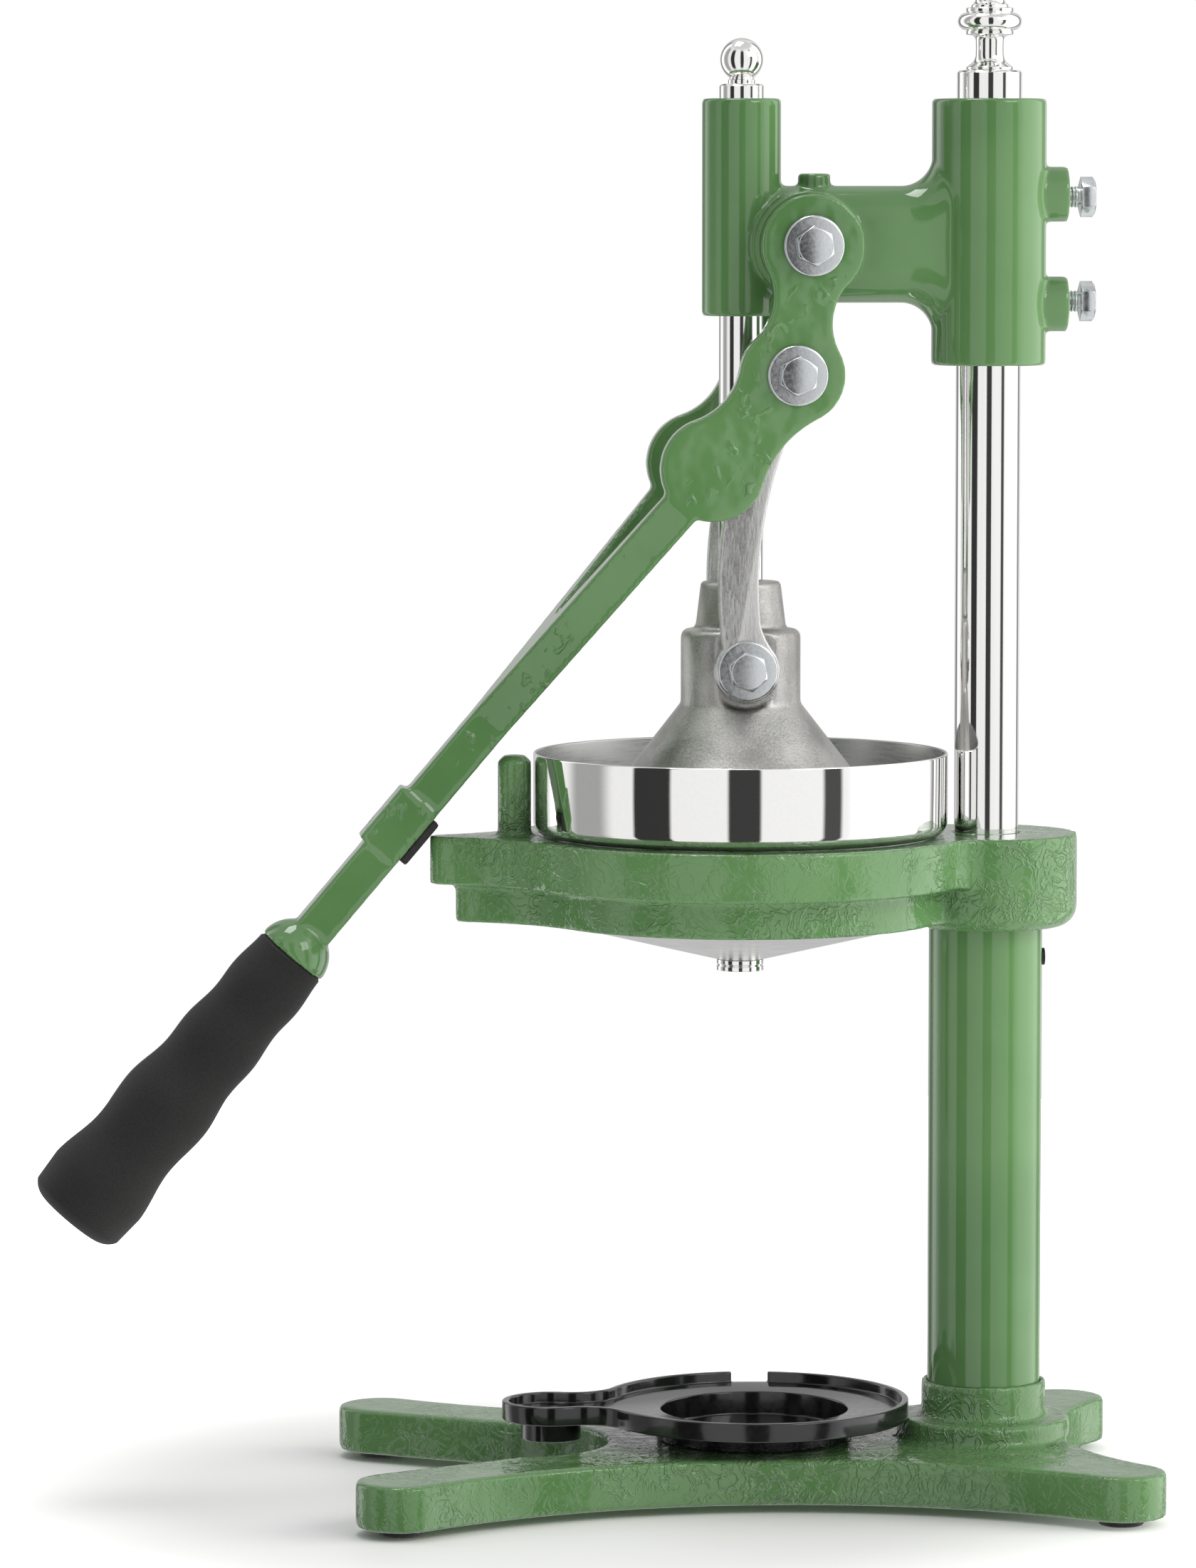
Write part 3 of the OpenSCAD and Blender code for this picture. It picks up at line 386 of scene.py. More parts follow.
CAST_ENAMEL = Enamel("cast_green_enamel", Skin.SAND_CAST)
FETTLED_ENAMEL = Enamel("fettled_green_enamel", Skin.FETTLED)
TURNED_ENAMEL = Enamel("smooth_green_enamel", Skin.TURNED)
POLISHED_STEEL = BrightSteel("polished_steel", (0.9, 0.895, 0.885), 0.02, 0.045, 0.0015,
                             (700.0, 700.0, 700.0), streak=0.975)
DRAWN_STEEL = BrightSteel("drawn_steel_bar", (0.9, 0.895, 0.885), 0.025, 0.06, 0.006,
                          (700.0, 700.0, 5.0), streak=0.95)
SATIN_STEEL = BrightSteel("satin_steel", (0.97, 0.97, 0.965), 0.28, 0.4, 0.05,
                          (90.0, 90.0, 1400.0))
BRUSHED_STEEL = BrightSteel("brushed_steel", (0.5, 0.5, 0.493), 0.24, 0.38, 0.05,
                            (90.0, 90.0, 1200.0))
GROUND_STEEL = BrightSteel("ground_steel_links", (0.74, 0.735, 0.72), 0.2, 0.4, 0.5,
                           (1800.0, 180.0, 240.0), (0.0, 42.0, 0.0), 0.0008)
ZINC_PLATE = GrainyMetal("zinc_plate", (0.6, 0.625, 0.64), (0.74, 0.76, 0.775), 0.16, 0.28,
                         0.05, 700.0)
BLASTED_ALUMINIUM = GrainyMetal("blasted_aluminium", (0.36, 0.355, 0.34), (0.58, 0.57, 0.55),
                                0.3, 0.44, 0.4, 1300.0, 0.94)
TURNED_BRONZE = GrainyMetal("turned_bronze", (0.44, 0.29, 0.12), (0.66, 0.47, 0.22), 0.25, 0.4,
                            0.12, 1100.0)
BLACK_STEEL = GrainyMetal("black_steel", (0.012, 0.012, 0.013), (0.035, 0.035, 0.036), 0.3, 0.5,
                          0.15, 1300.0, 0.6)
SOLE_RUBBER = BlackMoulding("sole_rubber", (0.012, 0.012, 0.012), (0.028, 0.027, 0.026), 0.55,
                            0.8, 0.3, 900.0)
GRIP_FOAM = BlackMoulding("grip_foam", (0.0045, 0.0043, 0.0043), (0.0075, 0.0072, 0.007), 0.66,
                          0.82, 0.3, 1700.0, sheen=0.03)
RING_PLASTIC = BlackMoulding("ring_plastic", (0.004, 0.004, 0.0045), (0.008, 0.008, 0.009), 0.1,
                             0.2, 0.03, 500.0, coat=0.4)


# Modelling


def arc(centre: tuple[float, float], radius: float, start: float, end: float,
        steps: int = 8) -> Outline:
    """Points along a circle in the outline's plane.

    Args:
        centre: Radius and height of the circle's middle, in millimetres.
        radius: Radius of the circle.
        start: First angle in degrees, 0 outwards and 90 up.
        end: Last angle in degrees.
        steps: Number of chords.

    Returns:
        The points in order.
    """
    return [(centre[0] + radius * math.cos(math.radians(start + (end - start) * k / steps)),
             centre[1] + radius * math.sin(math.radians(start + (end - start) * k / steps)))
            for k in range(steps + 1)]


def middle(node: str) -> Vector:
    """Middle of a node's box at rest."""
    low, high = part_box(node)
    return (Vector(low) + Vector(high)) / 2


class Bench:
    """Modelling moves that the sub-assemblies share."""

    def clear(self) -> None:
        """Leaves nothing selected."""
        bpy.ops.object.select_all(action="DESELECT")

    def take(self, *pieces: bpy.types.Object) -> None:
        """Selects the given objects alone, with the first one active."""
        self.clear()
        for piece in pieces:
            piece.select_set(True)
        bpy.context.view_layer.objects.active = pieces[0]

    def settle(self, piece: bpy.types.Object) -> None:
        """Puts an object's place into its mesh."""
        self.take(piece)
        bpy.ops.object.transform_apply(location=True, rotation=True, scale=True)

    def apply(self, piece: bpy.types.Object, kind: str, **settings: object) -> None:
        """Adds a modifier and applies it.

        Args:
            piece: Object to change.
            kind: Type of the modifier.
            settings: Its settings by name.
        """
        modifier = piece.modifiers.new(kind.title(), kind)
        for name, value in settings.items():
            setattr(modifier, name, value)
        self.take(piece)
        bpy.ops.object.modifier_apply(modifier=modifier.name)

    def smooth(self, piece: bpy.types.Object, angle: float = 35.0) -> None:
        """Shades a piece smooth up to an angle in degrees."""
        self.take(piece)
        bpy.ops.object.shade_smooth_by_angle(angle=math.radians(angle))

    def lathe(self, name: str, outline: Outline, place: Vector, pointing: Vector,
              steps: int = 96) -> bpy.types.Object:
        """Turns an outline about its axis.

        Args:
            name: Name of the piece.
            outline: Radius and height of each point, in millimetres.
            place: Where the outline's origin goes.
            pointing: Direction of the axis.
            steps: Steps round the axis.

        Returns:
            The turned piece.
        """
        self.clear()
        bpy.ops.mesh.primitive_plane_add(size=MM, location=(0.0, 0.0, 0.0))
        piece = bpy.context.active_object
        piece.name = name
        bpy.ops.object.mode_set(mode="EDIT")
        bpy.ops.mesh.select_all(action="SELECT")
        bpy.ops.mesh.merge(type="CENTER")
        bpy.ops.transform.translate(value=(outline[0][0] * MM, 0.0, outline[0][1] * MM))
        for here, there in zip(outline, outline[1:]):
            step = ((there[0] - here[0]) * MM, 0.0, (there[1] - here[1]) * MM)
            bpy.ops.mesh.extrude_region_move(TRANSFORM_OT_translate={"value": step})
        bpy.ops.mesh.select_all(action="SELECT")
        bpy.ops.mesh.spin(steps=steps, angle=math.tau, center=(0.0, 0.0, 0.0), axis=(0.0, 0.0, 1.0))
        bpy.ops.mesh.select_all(action="SELECT")
        bpy.ops.mesh.remove_doubles(threshold=0.00001)
        bpy.ops.mesh.normals_make_consistent(inside=False)
        bpy.ops.object.mode_set(mode="OBJECT")
        self.aim(piece, place, pointing)
        self.smooth(piece)
        return piece

    def aim(self, piece: bpy.types.Object, place: Vector, pointing: Vector) -> None:
        """Turns a piece made along +Z to a direction and puts it in its place."""
        piece.rotation_mode = "QUATERNION"
        piece.rotation_quaternion = Vector((0.0, 0.0, 1.0)).rotation_difference(pointing)
        piece.location = place
        self.settle(piece)

    def copy_node(self, node: str, name: str) -> bpy.types.Object:
        """Copies a CAD node's mesh into a new object and merges its loose triangles.

        Args:
            node: Name of the CAD node.
            name: Name of the new piece.

        Returns:
            The copy, closed.
        """
        piece = bpy.data.objects.new(name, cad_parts[node].data.copy())
        bpy.context.scene.collection.objects.link(piece)
        self.take(piece)
        bpy.ops.object.mode_set(mode="EDIT")
        bpy.ops.mesh.select_all(action="SELECT")
        bpy.ops.mesh.customdata_custom_splitnormals_clear()
        bpy.ops.mesh.remove_doubles(threshold=0.000004)
        bpy.ops.object.mode_set(mode="OBJECT")
        return piece

    def cast(self, node: str, name: str, voxel: float, passes: int) -> bpy.types.Object:
        """Makes a casting's skin from a CAD node: every edge and corner gets a fillet.

        Args:
            node: Name of the CAD node.
            name: Name of the new piece.
            voxel: Size of the skin's grid in millimetres.
            passes: Number of smoothing passes, more for rounder edges.

        Returns:
            The casting.
        """
        piece = self.copy_node(node, name)
        self.apply(piece, "REMESH", mode="VOXEL", voxel_size=voxel * MM, use_smooth_shade=True)
        self.apply(piece, "SMOOTH", factor=0.5, iterations=passes)
        self.take(piece)
        bpy.ops.object.shade_smooth()
        return piece

    def eased(self, node: str, name: str, width: float, segments: int = 3,
              angle: float = 32.0) -> bpy.types.Object:
        """Copies a CAD node and rounds its edges.

        Args:
            node: Name of the CAD node.
            name: Name of the new piece.
            width: Width of the rounded edges in millimetres.
            segments: Steps across an edge.
            angle: Least angle of an edge that is rounded, in degrees.

        Returns:
            The rounded piece.
        """
        piece = self.copy_node(node, name)
        bpy.ops.object.mode_set(mode="EDIT")
        bpy.ops.mesh.select_all(action="SELECT")
        bpy.ops.mesh.dissolve_limited(angle_limit=math.radians(0.4))
        bpy.ops.object.mode_set(mode="OBJECT")
        self.apply(piece, "BEVEL", width=width * MM, segments=segments, limit_method="ANGLE",
                   angle_limit=math.radians(angle), use_clamp_overlap=True)
        self.smooth(piece, 40.0)
        return piece

    def join(self, name: str, pieces: list[bpy.types.Object]) -> bpy.types.Object:
        """Joins pieces into one object with the given name."""
        self.take(*pieces)
        bpy.ops.object.join()
        pieces[0].name = name
        return pieces[0]

    def dress(self, piece: bpy.types.Object, finish: bpy.types.Material, body: str, slot: Slot,
              *nodes: str) -> None:
        """Gives a new piece its finish, its body and the nodes that it stands for.

        Args:
            piece: The new piece.
            finish: Its material.
            body: Body that it rides on.
            slot: Its material slot; not used.
            nodes: Nodes that it replaces.
        """
        piece.data.materials.clear()
        piece.data.materials.append(finish)
        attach(piece, body)
        if nodes:
            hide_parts(*nodes)
        log.info("%s: %d faces on %s", piece.name, len(piece.data.polygons), body)

    def paint(self, node: str, finish: bpy.types.Material) -> None:
        """Gives a CAD node a finish through its object's own slots."""
        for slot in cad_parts[node].material_slots:
            slot.link = "OBJECT"
            slot.material = finish
        log.info("%s: dressed in %s", node, finish.name)


@dataclass
class Screws:
    """Zinc plated hexagon screws and washers, each made on its own."""

    bench: Bench
    finish: bpy.types.Material
    across: float = 13.0
    head: float = 5.3
    shank: float = 4.0
    pitch: float = 1.25
    washer_r: float = 11.25
    washer_t: float = 1.7
    washer_hole: float = 4.05
    washer_rim: float = 1.0
    side_shank: float = 7.0

    def hexagon(self, name: str) -> bpy.types.Object:
        """Makes a head with turned corners and a dished top, standing on the origin.

        Args:
            name: Name of the piece.

        Returns:
            The head.
        """
        bench, h = self.bench, self.head
        blank = bench.lathe("blank", [(0.0, -1.0), (9.0, -1.0), (9.0, h - 1.75),
                                      (self.across / 2 - 0.25, h), (0.0, h)],
                            Vector((0.0, 0.0, 0.0)), Pointing.UP.vector, 72)
        bench.clear()
        bpy.ops.mesh.primitive_cylinder_add(vertices=6, radius=self.across / math.sqrt(3) * MM,
                                            depth=h * MM, location=(0.0, 0.0, h / 2 * MM))
        piece = bpy.context.active_object
        piece.name = name
        bench.apply(piece, "BOOLEAN", operation="INTERSECT", object=blank, solver="EXACT")
        bpy.data.objects.remove(blank)
        bench.take(piece)
        bpy.ops.object.mode_set(mode="EDIT")
        bpy.ops.mesh.select_all(action="DESELECT")
        bpy.ops.object.mode_set(mode="OBJECT")
        for face in piece.data.polygons:
            face.select = face.normal.z > 0.99 and face.center.z > (h - 0.1) * MM
        bpy.ops.object.mode_set(mode="EDIT")
        bpy.ops.mesh.inset(thickness=0.9 * MM)
        bpy.ops.mesh.inset(thickness=0.35 * MM)
        bpy.ops.transform.translate(value=(0.0, 0.0, -0.35 * MM))
        bpy.ops.object.mode_set(mode="OBJECT")
        bench.apply(piece, "BEVEL", width=0.16 * MM, segments=2, limit_method="ANGLE",
                    angle_limit=math.radians(24.0))
        bench.smooth(piece, 30.0)
        return piece

    def thread(self, length: float) -> Outline:
        """Outline of a threaded shank.

        Args:
            length: Length below the head, in millimetres.

        Returns:
            Points from the tip up to the head.
        """
        points: Outline = [(0.0, -length), (self.shank - 0.8, -length)]
        turns = int((length - 1.0) / self.pitch)
        for k in range(turns):
            z = -length + 0.6 + k * self.pitch
            points += [(self.shank - 0.55, z), (self.shank - 0.05, z + self.pitch * 0.45),
                       (self.shank - 0.05, z + self.pitch * 0.6)]
        return points + [(self.shank - 0.55, -0.3), (self.shank - 0.3, 0.3), (0.0, 0.3)]

    def screw(self, name: str, seat: Vector, pointing: Vector, length: float,
              spin: float) -> bpy.types.Object:
        """Makes one screw.

        Args:
            name: Name of the piece.
            seat: Middle of the head's lower face.
            pointing: Direction from the shank to the head.
            length: Length of the shank in millimetres.
            spin: Turn of the hexagon about its axis, in degrees.

        Returns:
            The screw.
        """
        head = self.hexagon(name)
        head.rotation_euler = (0.0, 0.0, math.radians(spin))
        self.bench.settle(head)
        shank = self.bench.lathe("shank", self.thread(length), Vector((0.0, 0.0, 0.0)),
                                 Pointing.UP.vector, 40)
        whole = self.bench.join(name, [head, shank])
        self.bench.aim(whole, seat, pointing)
        return whole

    def washer(self, name: str, seat: Vector, pointing: Vector) -> bpy.types.Object:
        """Makes a punched washer that lies on its seat.

        Args:
            name: Name of the piece.
            seat: Middle of the face that the washer lies on.
            pointing: Direction away from that face.

        Returns:
            The washer.
        """
        r, t, hole, rim = self.washer_r, self.washer_t, self.washer_hole, self.washer_rim
        outline = ([(hole, 0.1), (r - 0.4, 0.0), (r, 0.4)]
                   + arc((r - rim, t - rim), rim, 0.0, 90.0, 8)
                   + [(hole + 0.35, t), (hole, t - 0.3), (hole, 0.1)])
        return self.bench.lathe(name, outline, seat, pointing, 72)

    def pair(self, name: str, parts: list[bpy.types.Object], body: str, node: str) -> None:
        """Joins the two sides' pieces and dresses them.

        Args:
            name: Name of the joined piece.
            parts: The pieces.
            body: Body that they ride on.
            node: Node that they replace.
        """
        whole = self.bench.join(name, parts)
        self.bench.dress(whole, self.finish, body, Slot.ZINC, node)


@dataclass
class Finishes:
    """Every material, built once."""

    cast: bpy.types.Material
    fettled: bpy.types.Material
    enamel: bpy.types.Material
    polished: bpy.types.Material
    drawn: bpy.types.Material
    ground: bpy.types.Material
    satin: bpy.types.Material
    brushed: bpy.types.Material
    zinc: bpy.types.Material
    aluminium: bpy.types.Material
    bronze: bpy.types.Material
    oxide: bpy.types.Material
    rubber: bpy.types.Material
    foam: bpy.types.Material
    plastic: bpy.types.Material

    @classmethod
    def make(cls) -> "Finishes":
        """Builds all the materials."""
        return cls(CAST_ENAMEL.build(), FETTLED_ENAMEL.build(), TURNED_ENAMEL.build(),
                   POLISHED_STEEL.build(), DRAWN_STEEL.build(), GROUND_STEEL.build(),
                   SATIN_STEEL.build(), BRUSHED_STEEL.build(), ZINC_PLATE.build(),
                   BLASTED_ALUMINIUM.build(), TURNED_BRONZE.build(), BLACK_STEEL.build(),
                   SOLE_RUBBER.build(), GRIP_FOAM.build(), RING_PLASTIC.build())


# Sub-assemblies


@dataclass
class Stand:
    """Cast base on rubber feet, with the column, its tube and its turned top."""

    bench: Bench
    finishes: Finishes
    foot_r: float = 8.25
    foot_h: float = 3.0
    body: str = "stand"

    def base(self) -> None:
        """Casts the base and its feet."""
        skin = self.bench.cast("base", "base_casting", 1.2, 7)
        self.bench.dress(skin, self.finishes.cast, self.body, Slot.ENAMEL, "base")
        low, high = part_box("base_feet")
        r = self.foot_r
        outline = ([(0.0, 0.0), (r - 2.4, 0.0), (r - 2.0, 0.3), (r - 1.4, 0.3), (r - 1.0, 0.0)]
                   + arc((r - 0.8, 0.8), 0.8, -90.0, 0.0, 5)
                   + [(r, self.foot_h), (2.45, self.foot_h), (2.45, 9.0), (0.0, 9.0)])
        feet = []
        for x in (low[0] + r * MM, high[0] - r * MM):
            for y in (low[1] + r * MM, high[1] - r * MM):
                feet.append(self.bench.lathe("foot", outline, Vector((x, y, 0.0)),
                                             Pointing.UP.vector, 48))
        whole = self.bench.join("rubber_feet", feet)
        self.bench.dress(whole, self.finishes.rubber, self.body, Slot.RUBBER, "base_feet")

    def column(self) -> None:
        """Dresses the column, its tube and what fastens them."""
        self.bench.paint("column", self.finishes.drawn)
        self.bench.paint("stand_tube", self.finishes.enamel)
        self.bench.paint("tube_set_screw", self.finishes.oxide)
        self.bench.paint("base_washer", self.finishes.zinc)
        self.bench.paint("base_nut", self.finishes.zinc)

    def finial(self) -> None:
        """Turns the ornament on top of the column."""
        low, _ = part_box("column_finial")
        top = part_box("column")[1][2]
        at = middle("column_finial")
        outline = ([(0.0, -4.0), (3.9, -4.0), (3.9, 0.0), (8.2, 0.0), (8.7, 0.4), (8.7, 1.1)]
                   + [(8.3, 1.5)] + arc((9.6, 6.0), 4.4, 232.0, 180.0, 8)
                   + [(5.15, 8.0), (5.2, 10.6)] + arc((7.4, 10.9), 2.2, 180.0, 100.0, 6)
                   + [(8.5, 13.1), (8.8, 13.4), (8.8, 14.5), (8.5, 14.8), (8.2, 14.85)]
                   + arc((8.65, 18.05), 3.2, -90.0, 90.0, 20)
                   + [(8.2, 21.3), (8.5, 21.35), (8.8, 21.65), (8.8, 22.8), (8.5, 23.1)]
                   + [(7.0, 23.15)]
                   + arc((8.6, 27.0), 3.4, 238.0, 180.0, 6)
                   + [(5.2, 30.0)] + arc((0.0, 40.1), 9.0, -56.0, 90.0, 30))
        piece = self.bench.lathe("turned_finial", outline, Vector((at.x, at.y, top)),
                                 Pointing.UP.vector, 96)
        self.bench.dress(piece, self.finishes.polished, self.body, Slot.POLISHED, "column_finial")

    def build(self) -> None:
        """Builds the stand."""
        self.base()
        self.column()
        self.finial()


@dataclass
class Bowl:
    """Cast carrier with the press cup, strainer, reamer, funnel and outlet spout."""

    bench: Bench
    finishes: Finishes
    cup_r: float = 77.25
    cup_h: float = 30.6
    wall: float = 1.2
    hole_r: float = 59.0
    bend: float = 5.0
    body: str = "stand"

    def carrier(self) -> None:
        """Casts the carrier."""
        skin = self.bench.cast("bowl_carrier", "carrier_casting", 1.1, 6)
        self.bench.dress(skin, self.finishes.cast, self.body, Slot.ENAMEL, "bowl_carrier")

    def cup(self) -> None:
        """Spins the cup with a rounded rim."""
        low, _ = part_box("press_cup")
        at = middle("press_cup")
        r, h, t, e = self.cup_r, self.cup_h, self.wall, self.bend
        outline = ([(self.hole_r, 0.0)] + arc((r - e, e), e, -90.0, 0.0, 10)
                   + arc((r - t / 2, h - t / 2), t / 2, 0.0, 180.0, 8)
                   + arc((r - e, e), e - t, 0.0, -90.0, 10)
                   + [(self.hole_r, t), (self.hole_r, 0.0)])
        piece = self.bench.lathe("spun_cup", outline, Vector((at.x, at.y, low[2])),
                                 Pointing.UP.vector, 192)
        self.bench.dress(piece, self.finishes.polished, self.body, Slot.POLISHED, "press_cup")
        piece.data.materials.append(self.finishes.brushed)
        axis, floor = Vector((at.x, at.y, 0.0)), low[2] + t / 2 * MM
        for face in piece.data.polygons:
            out = face.center - axis
            inward = face.normal.x * out.x + face.normal.y * out.y < 0.0
            if face.center.z > floor and (inward or face.center.z < floor + t * MM):
                face.material_index = 1

    def build(self) -> None:
        """Builds the bowl."""
        self.carrier()
        self.cup()
        for node in ("strainer", "reamer", "outlet_spout"):
            self.bench.paint(node, self.finishes.polished)
        self.bench.paint("funnel", self.finishes.satin)


@dataclass
class Head:
    """Cast head that joins the rod guide to the column clamp, with its screws and axle."""

    bench: Bench
    finishes: Finishes
    screws: Screws
    body: str = "head"

    def clamp_screws(self) -> None:
        """Makes the two clamp screws with their visible threads."""
        low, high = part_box("clamp_bolts")
        seat_x = high[0] - self.screws.head * MM
        length = (seat_x - low[0]) / MM
        y = (low[1] + high[1]) / 2
        half = self.screws.across / math.sqrt(3) * MM
        parts = [self.screws.screw("clamp_screw", Vector((seat_x, y, z)), Pointing.RIGHT.vector,
                                   length, spin)
                 for z, spin in ((low[2] + half, 30.0), (high[2] - half, 30.0))]
        self.screws.pair("clamp_screws", parts, self.body, "clamp_bolts")

    def build(self) -> None:
        """Builds the head."""
        skin = self.bench.cast("head", "head_casting", 0.85, 3)
        self.bench.dress(skin, self.finishes.enamel, self.body, Slot.ENAMEL, "head")
        self.clamp_screws()
        side_fasteners(self.screws, "pivot", self.body, 15.0)
        self.bench.paint("guide_bushes", self.finishes.bronze)
        self.bench.paint("pivot_axle", self.finishes.polished)


def side_fasteners(screws: Screws, prefix: str, body: str, spin: float) -> None:
    """Makes the front and rear washers and screws of one pivot.

    Args:
        screws: Maker of the screws.
        prefix: Start of the two nodes' names.
        body: Body that they ride on.
        spin: Turn of the hexagons in degrees.
    """
    at = middle(prefix + "_washers")
    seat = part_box(prefix + "_washers")[1][1] - screws.washer_t * MM
    head_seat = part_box(prefix + "_bolts")[1][1] - screws.head * MM
    washers, bolts = [], []
    for side, way in ((-1.0, Pointing.FRONT), (1.0, Pointing.BACK)):
        washers.append(screws.washer("washer", Vector((at.x, side * seat, at.z)), way.vector))
        bolts.append(screws.screw("screw", Vector((at.x, side * head_seat, at.z)), way.vector,
                                  screws.side_shank, spin + side * 9.0))
    screws.pair(prefix + "_washer_pair", washers, body, prefix + "_washers")
    screws.pair(prefix + "_screw_pair", bolts, body, prefix + "_bolts")


@dataclass
class Lever:
    """Forked cast lever with its bumper, foam grip and upper link screws."""

    bench: Bench
    finishes: Finishes
    screws: Screws
    slope: float = 49.7
    grip_l: float = 128.0
    grip_r: float = 20.1
    grip_end: float = 8.0
    body: str = "lever"

    @property
    def along(self) -> Vector:
        """Direction of the lever's bar, away from the pivot."""
        a = math.radians(self.slope)
        return Vector((-math.cos(a), 0.0, -math.sin(a)))

    def grip_outline(self) -> Outline:
        """Outline of the grip: waves that follow the fingers and a round end with a cap."""
        crests = [(0.0, 0.69), (0.123, 0.756), (0.206, 0.725), (0.331, 0.80), (0.414, 0.775),
                  (0.57, 0.905), (0.707, 0.845), (0.887, 1.0)]
        steps = 14
        points: Outline = [(6.0, 0.0), (self.grip_r * 0.69 - 1.0, 0.0)]
        for (za, ra), (zb, rb) in zip(crests, crests[1:]):
            for k in range(steps):
                share = (1 - math.cos(math.pi * k / steps)) / 2
                z = za + (zb - za) * k / steps
                if z * self.grip_l > 0.9:
                    points.append(((ra + (rb - ra) * share) * self.grip_r, z * self.grip_l))
        end = self.grip_end
        points += arc((self.grip_r - end, self.grip_l - end), end, 28.0, 86.0, 10)
        tip = self.grip_l
        return points + [(10.4, tip), (9.7, tip - 0.25), (9.2, tip - 1.0), (8.4, tip - 1.1),
                         (0.0, tip - 1.15)]

    def grip(self) -> None:
        """Turns the hand grip."""
        low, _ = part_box("grip")
        end = self.grip_end
        run, side = self.grip_l - end, self.grip_r - end
        across, down = math.cos(math.radians(self.slope)), math.sin(math.radians(self.slope))
        reach = run * across + side * down + end
        drop = run * down + side * across + end
        start = Vector((low[0] + reach * MM, 0.0, low[2] + drop * MM))
        piece = self.bench.lathe("foam_grip", self.grip_outline(), start, self.along, 96)
        self.bench.dress(piece, self.finishes.foam, self.body, Slot.GRIP, "grip")

    def build(self) -> None:
        """Builds the lever."""
        skin = self.bench.cast("lever", "lever_casting", 0.95, 5)
        self.bench.dress(skin, self.finishes.fettled, self.body, Slot.ENAMEL, "lever")
        pad = self.bench.eased("lever_bumper", "rubber_bumper", 0.6)
        self.bench.dress(pad, self.finishes.rubber, self.body, Slot.RUBBER, "lever_bumper")
        self.grip()
        side_fasteners(self.screws, "link_top", self.body, 4.0)


@dataclass
class Press:
    """Blasted bell on its polished rod, with the ball and the lower link screws."""

    bench: Bench
    finishes: Finishes
    screws: Screws
    ball_r: float = 7.95
    body: str = "press"

    def ball(self) -> None:
        """Turns the ball and its neck."""
        low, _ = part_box("rod_ball")
        at = middle("rod_ball")
        r = self.ball_r
        start = math.degrees(math.acos(4.2 / r))
        outline = ([(3.05, 0.0), (4.4, 0.0), (4.7, 0.25), (4.6, 0.6)]
                   + arc((0.0, r - 0.6), r, -start, 90.0, 36))
        piece = self.bench.lathe("turned_ball", outline, Vector((at.x, at.y, low[2])),
                                 Pointing.UP.vector, 96)
        self.bench.dress(piece, self.finishes.polished, self.body, Slot.POLISHED, "rod_ball")

    def build(self) -> None:
        """Builds the press."""
        skin = self.bench.cast("press_bell", "bell_casting", 0.85, 5)
        self.bench.dress(skin, self.finishes.aluminium, self.body, Slot.ALUMINIUM, "press_bell")
        self.bench.paint("guide_rod", self.finishes.drawn)
        self.ball()
        side_fasteners(self.screws, "link_bottom", self.body, 20.0)


@dataclass
class Links:
    """The two bowed links between the lever and the bell."""

    bench: Bench
    finishes: Finishes
    edge: float = 1.3
    body: str = "links"

    def build(self) -> None:
        """Rounds and dresses both links."""
        for node in ("link_front", "link_rear"):
            piece = self.bench.eased(node, "ground_" + node, self.edge, 4, 50.0)
            self.bench.dress(piece, self.finishes.ground, self.body, Slot.GROUND, node)


@dataclass
class GlassRing:
    """Black plastic ring that centres a glass on the base."""

    bench: Bench
    finishes: Finishes
    edge: float = 0.6
    body: str = "glass_ring"

    def build(self) -> None:
        """Rounds and dresses the ring."""
        piece = self.bench.eased("glass_ring", "moulded_ring", self.edge, 3)
        self.bench.dress(piece, self.finishes.plastic, self.body, Slot.PLASTIC, "glass_ring")


# Studio


@dataclass(frozen=True)
class Strip:
    """Upright strip of the studio's surround, as polished steel mirrors it."""

    azimuth: float
    half: float
    soft: float
    share: float


@dataclass(frozen=True)
class Softbox:
    """Soft light that looks at the object's middle."""

    name: str
    place: Vector
    size: tuple[float, float]
    power: float
    tint: Rgb = (1.0, 1.0, 1.0)
    mirrored: bool = True


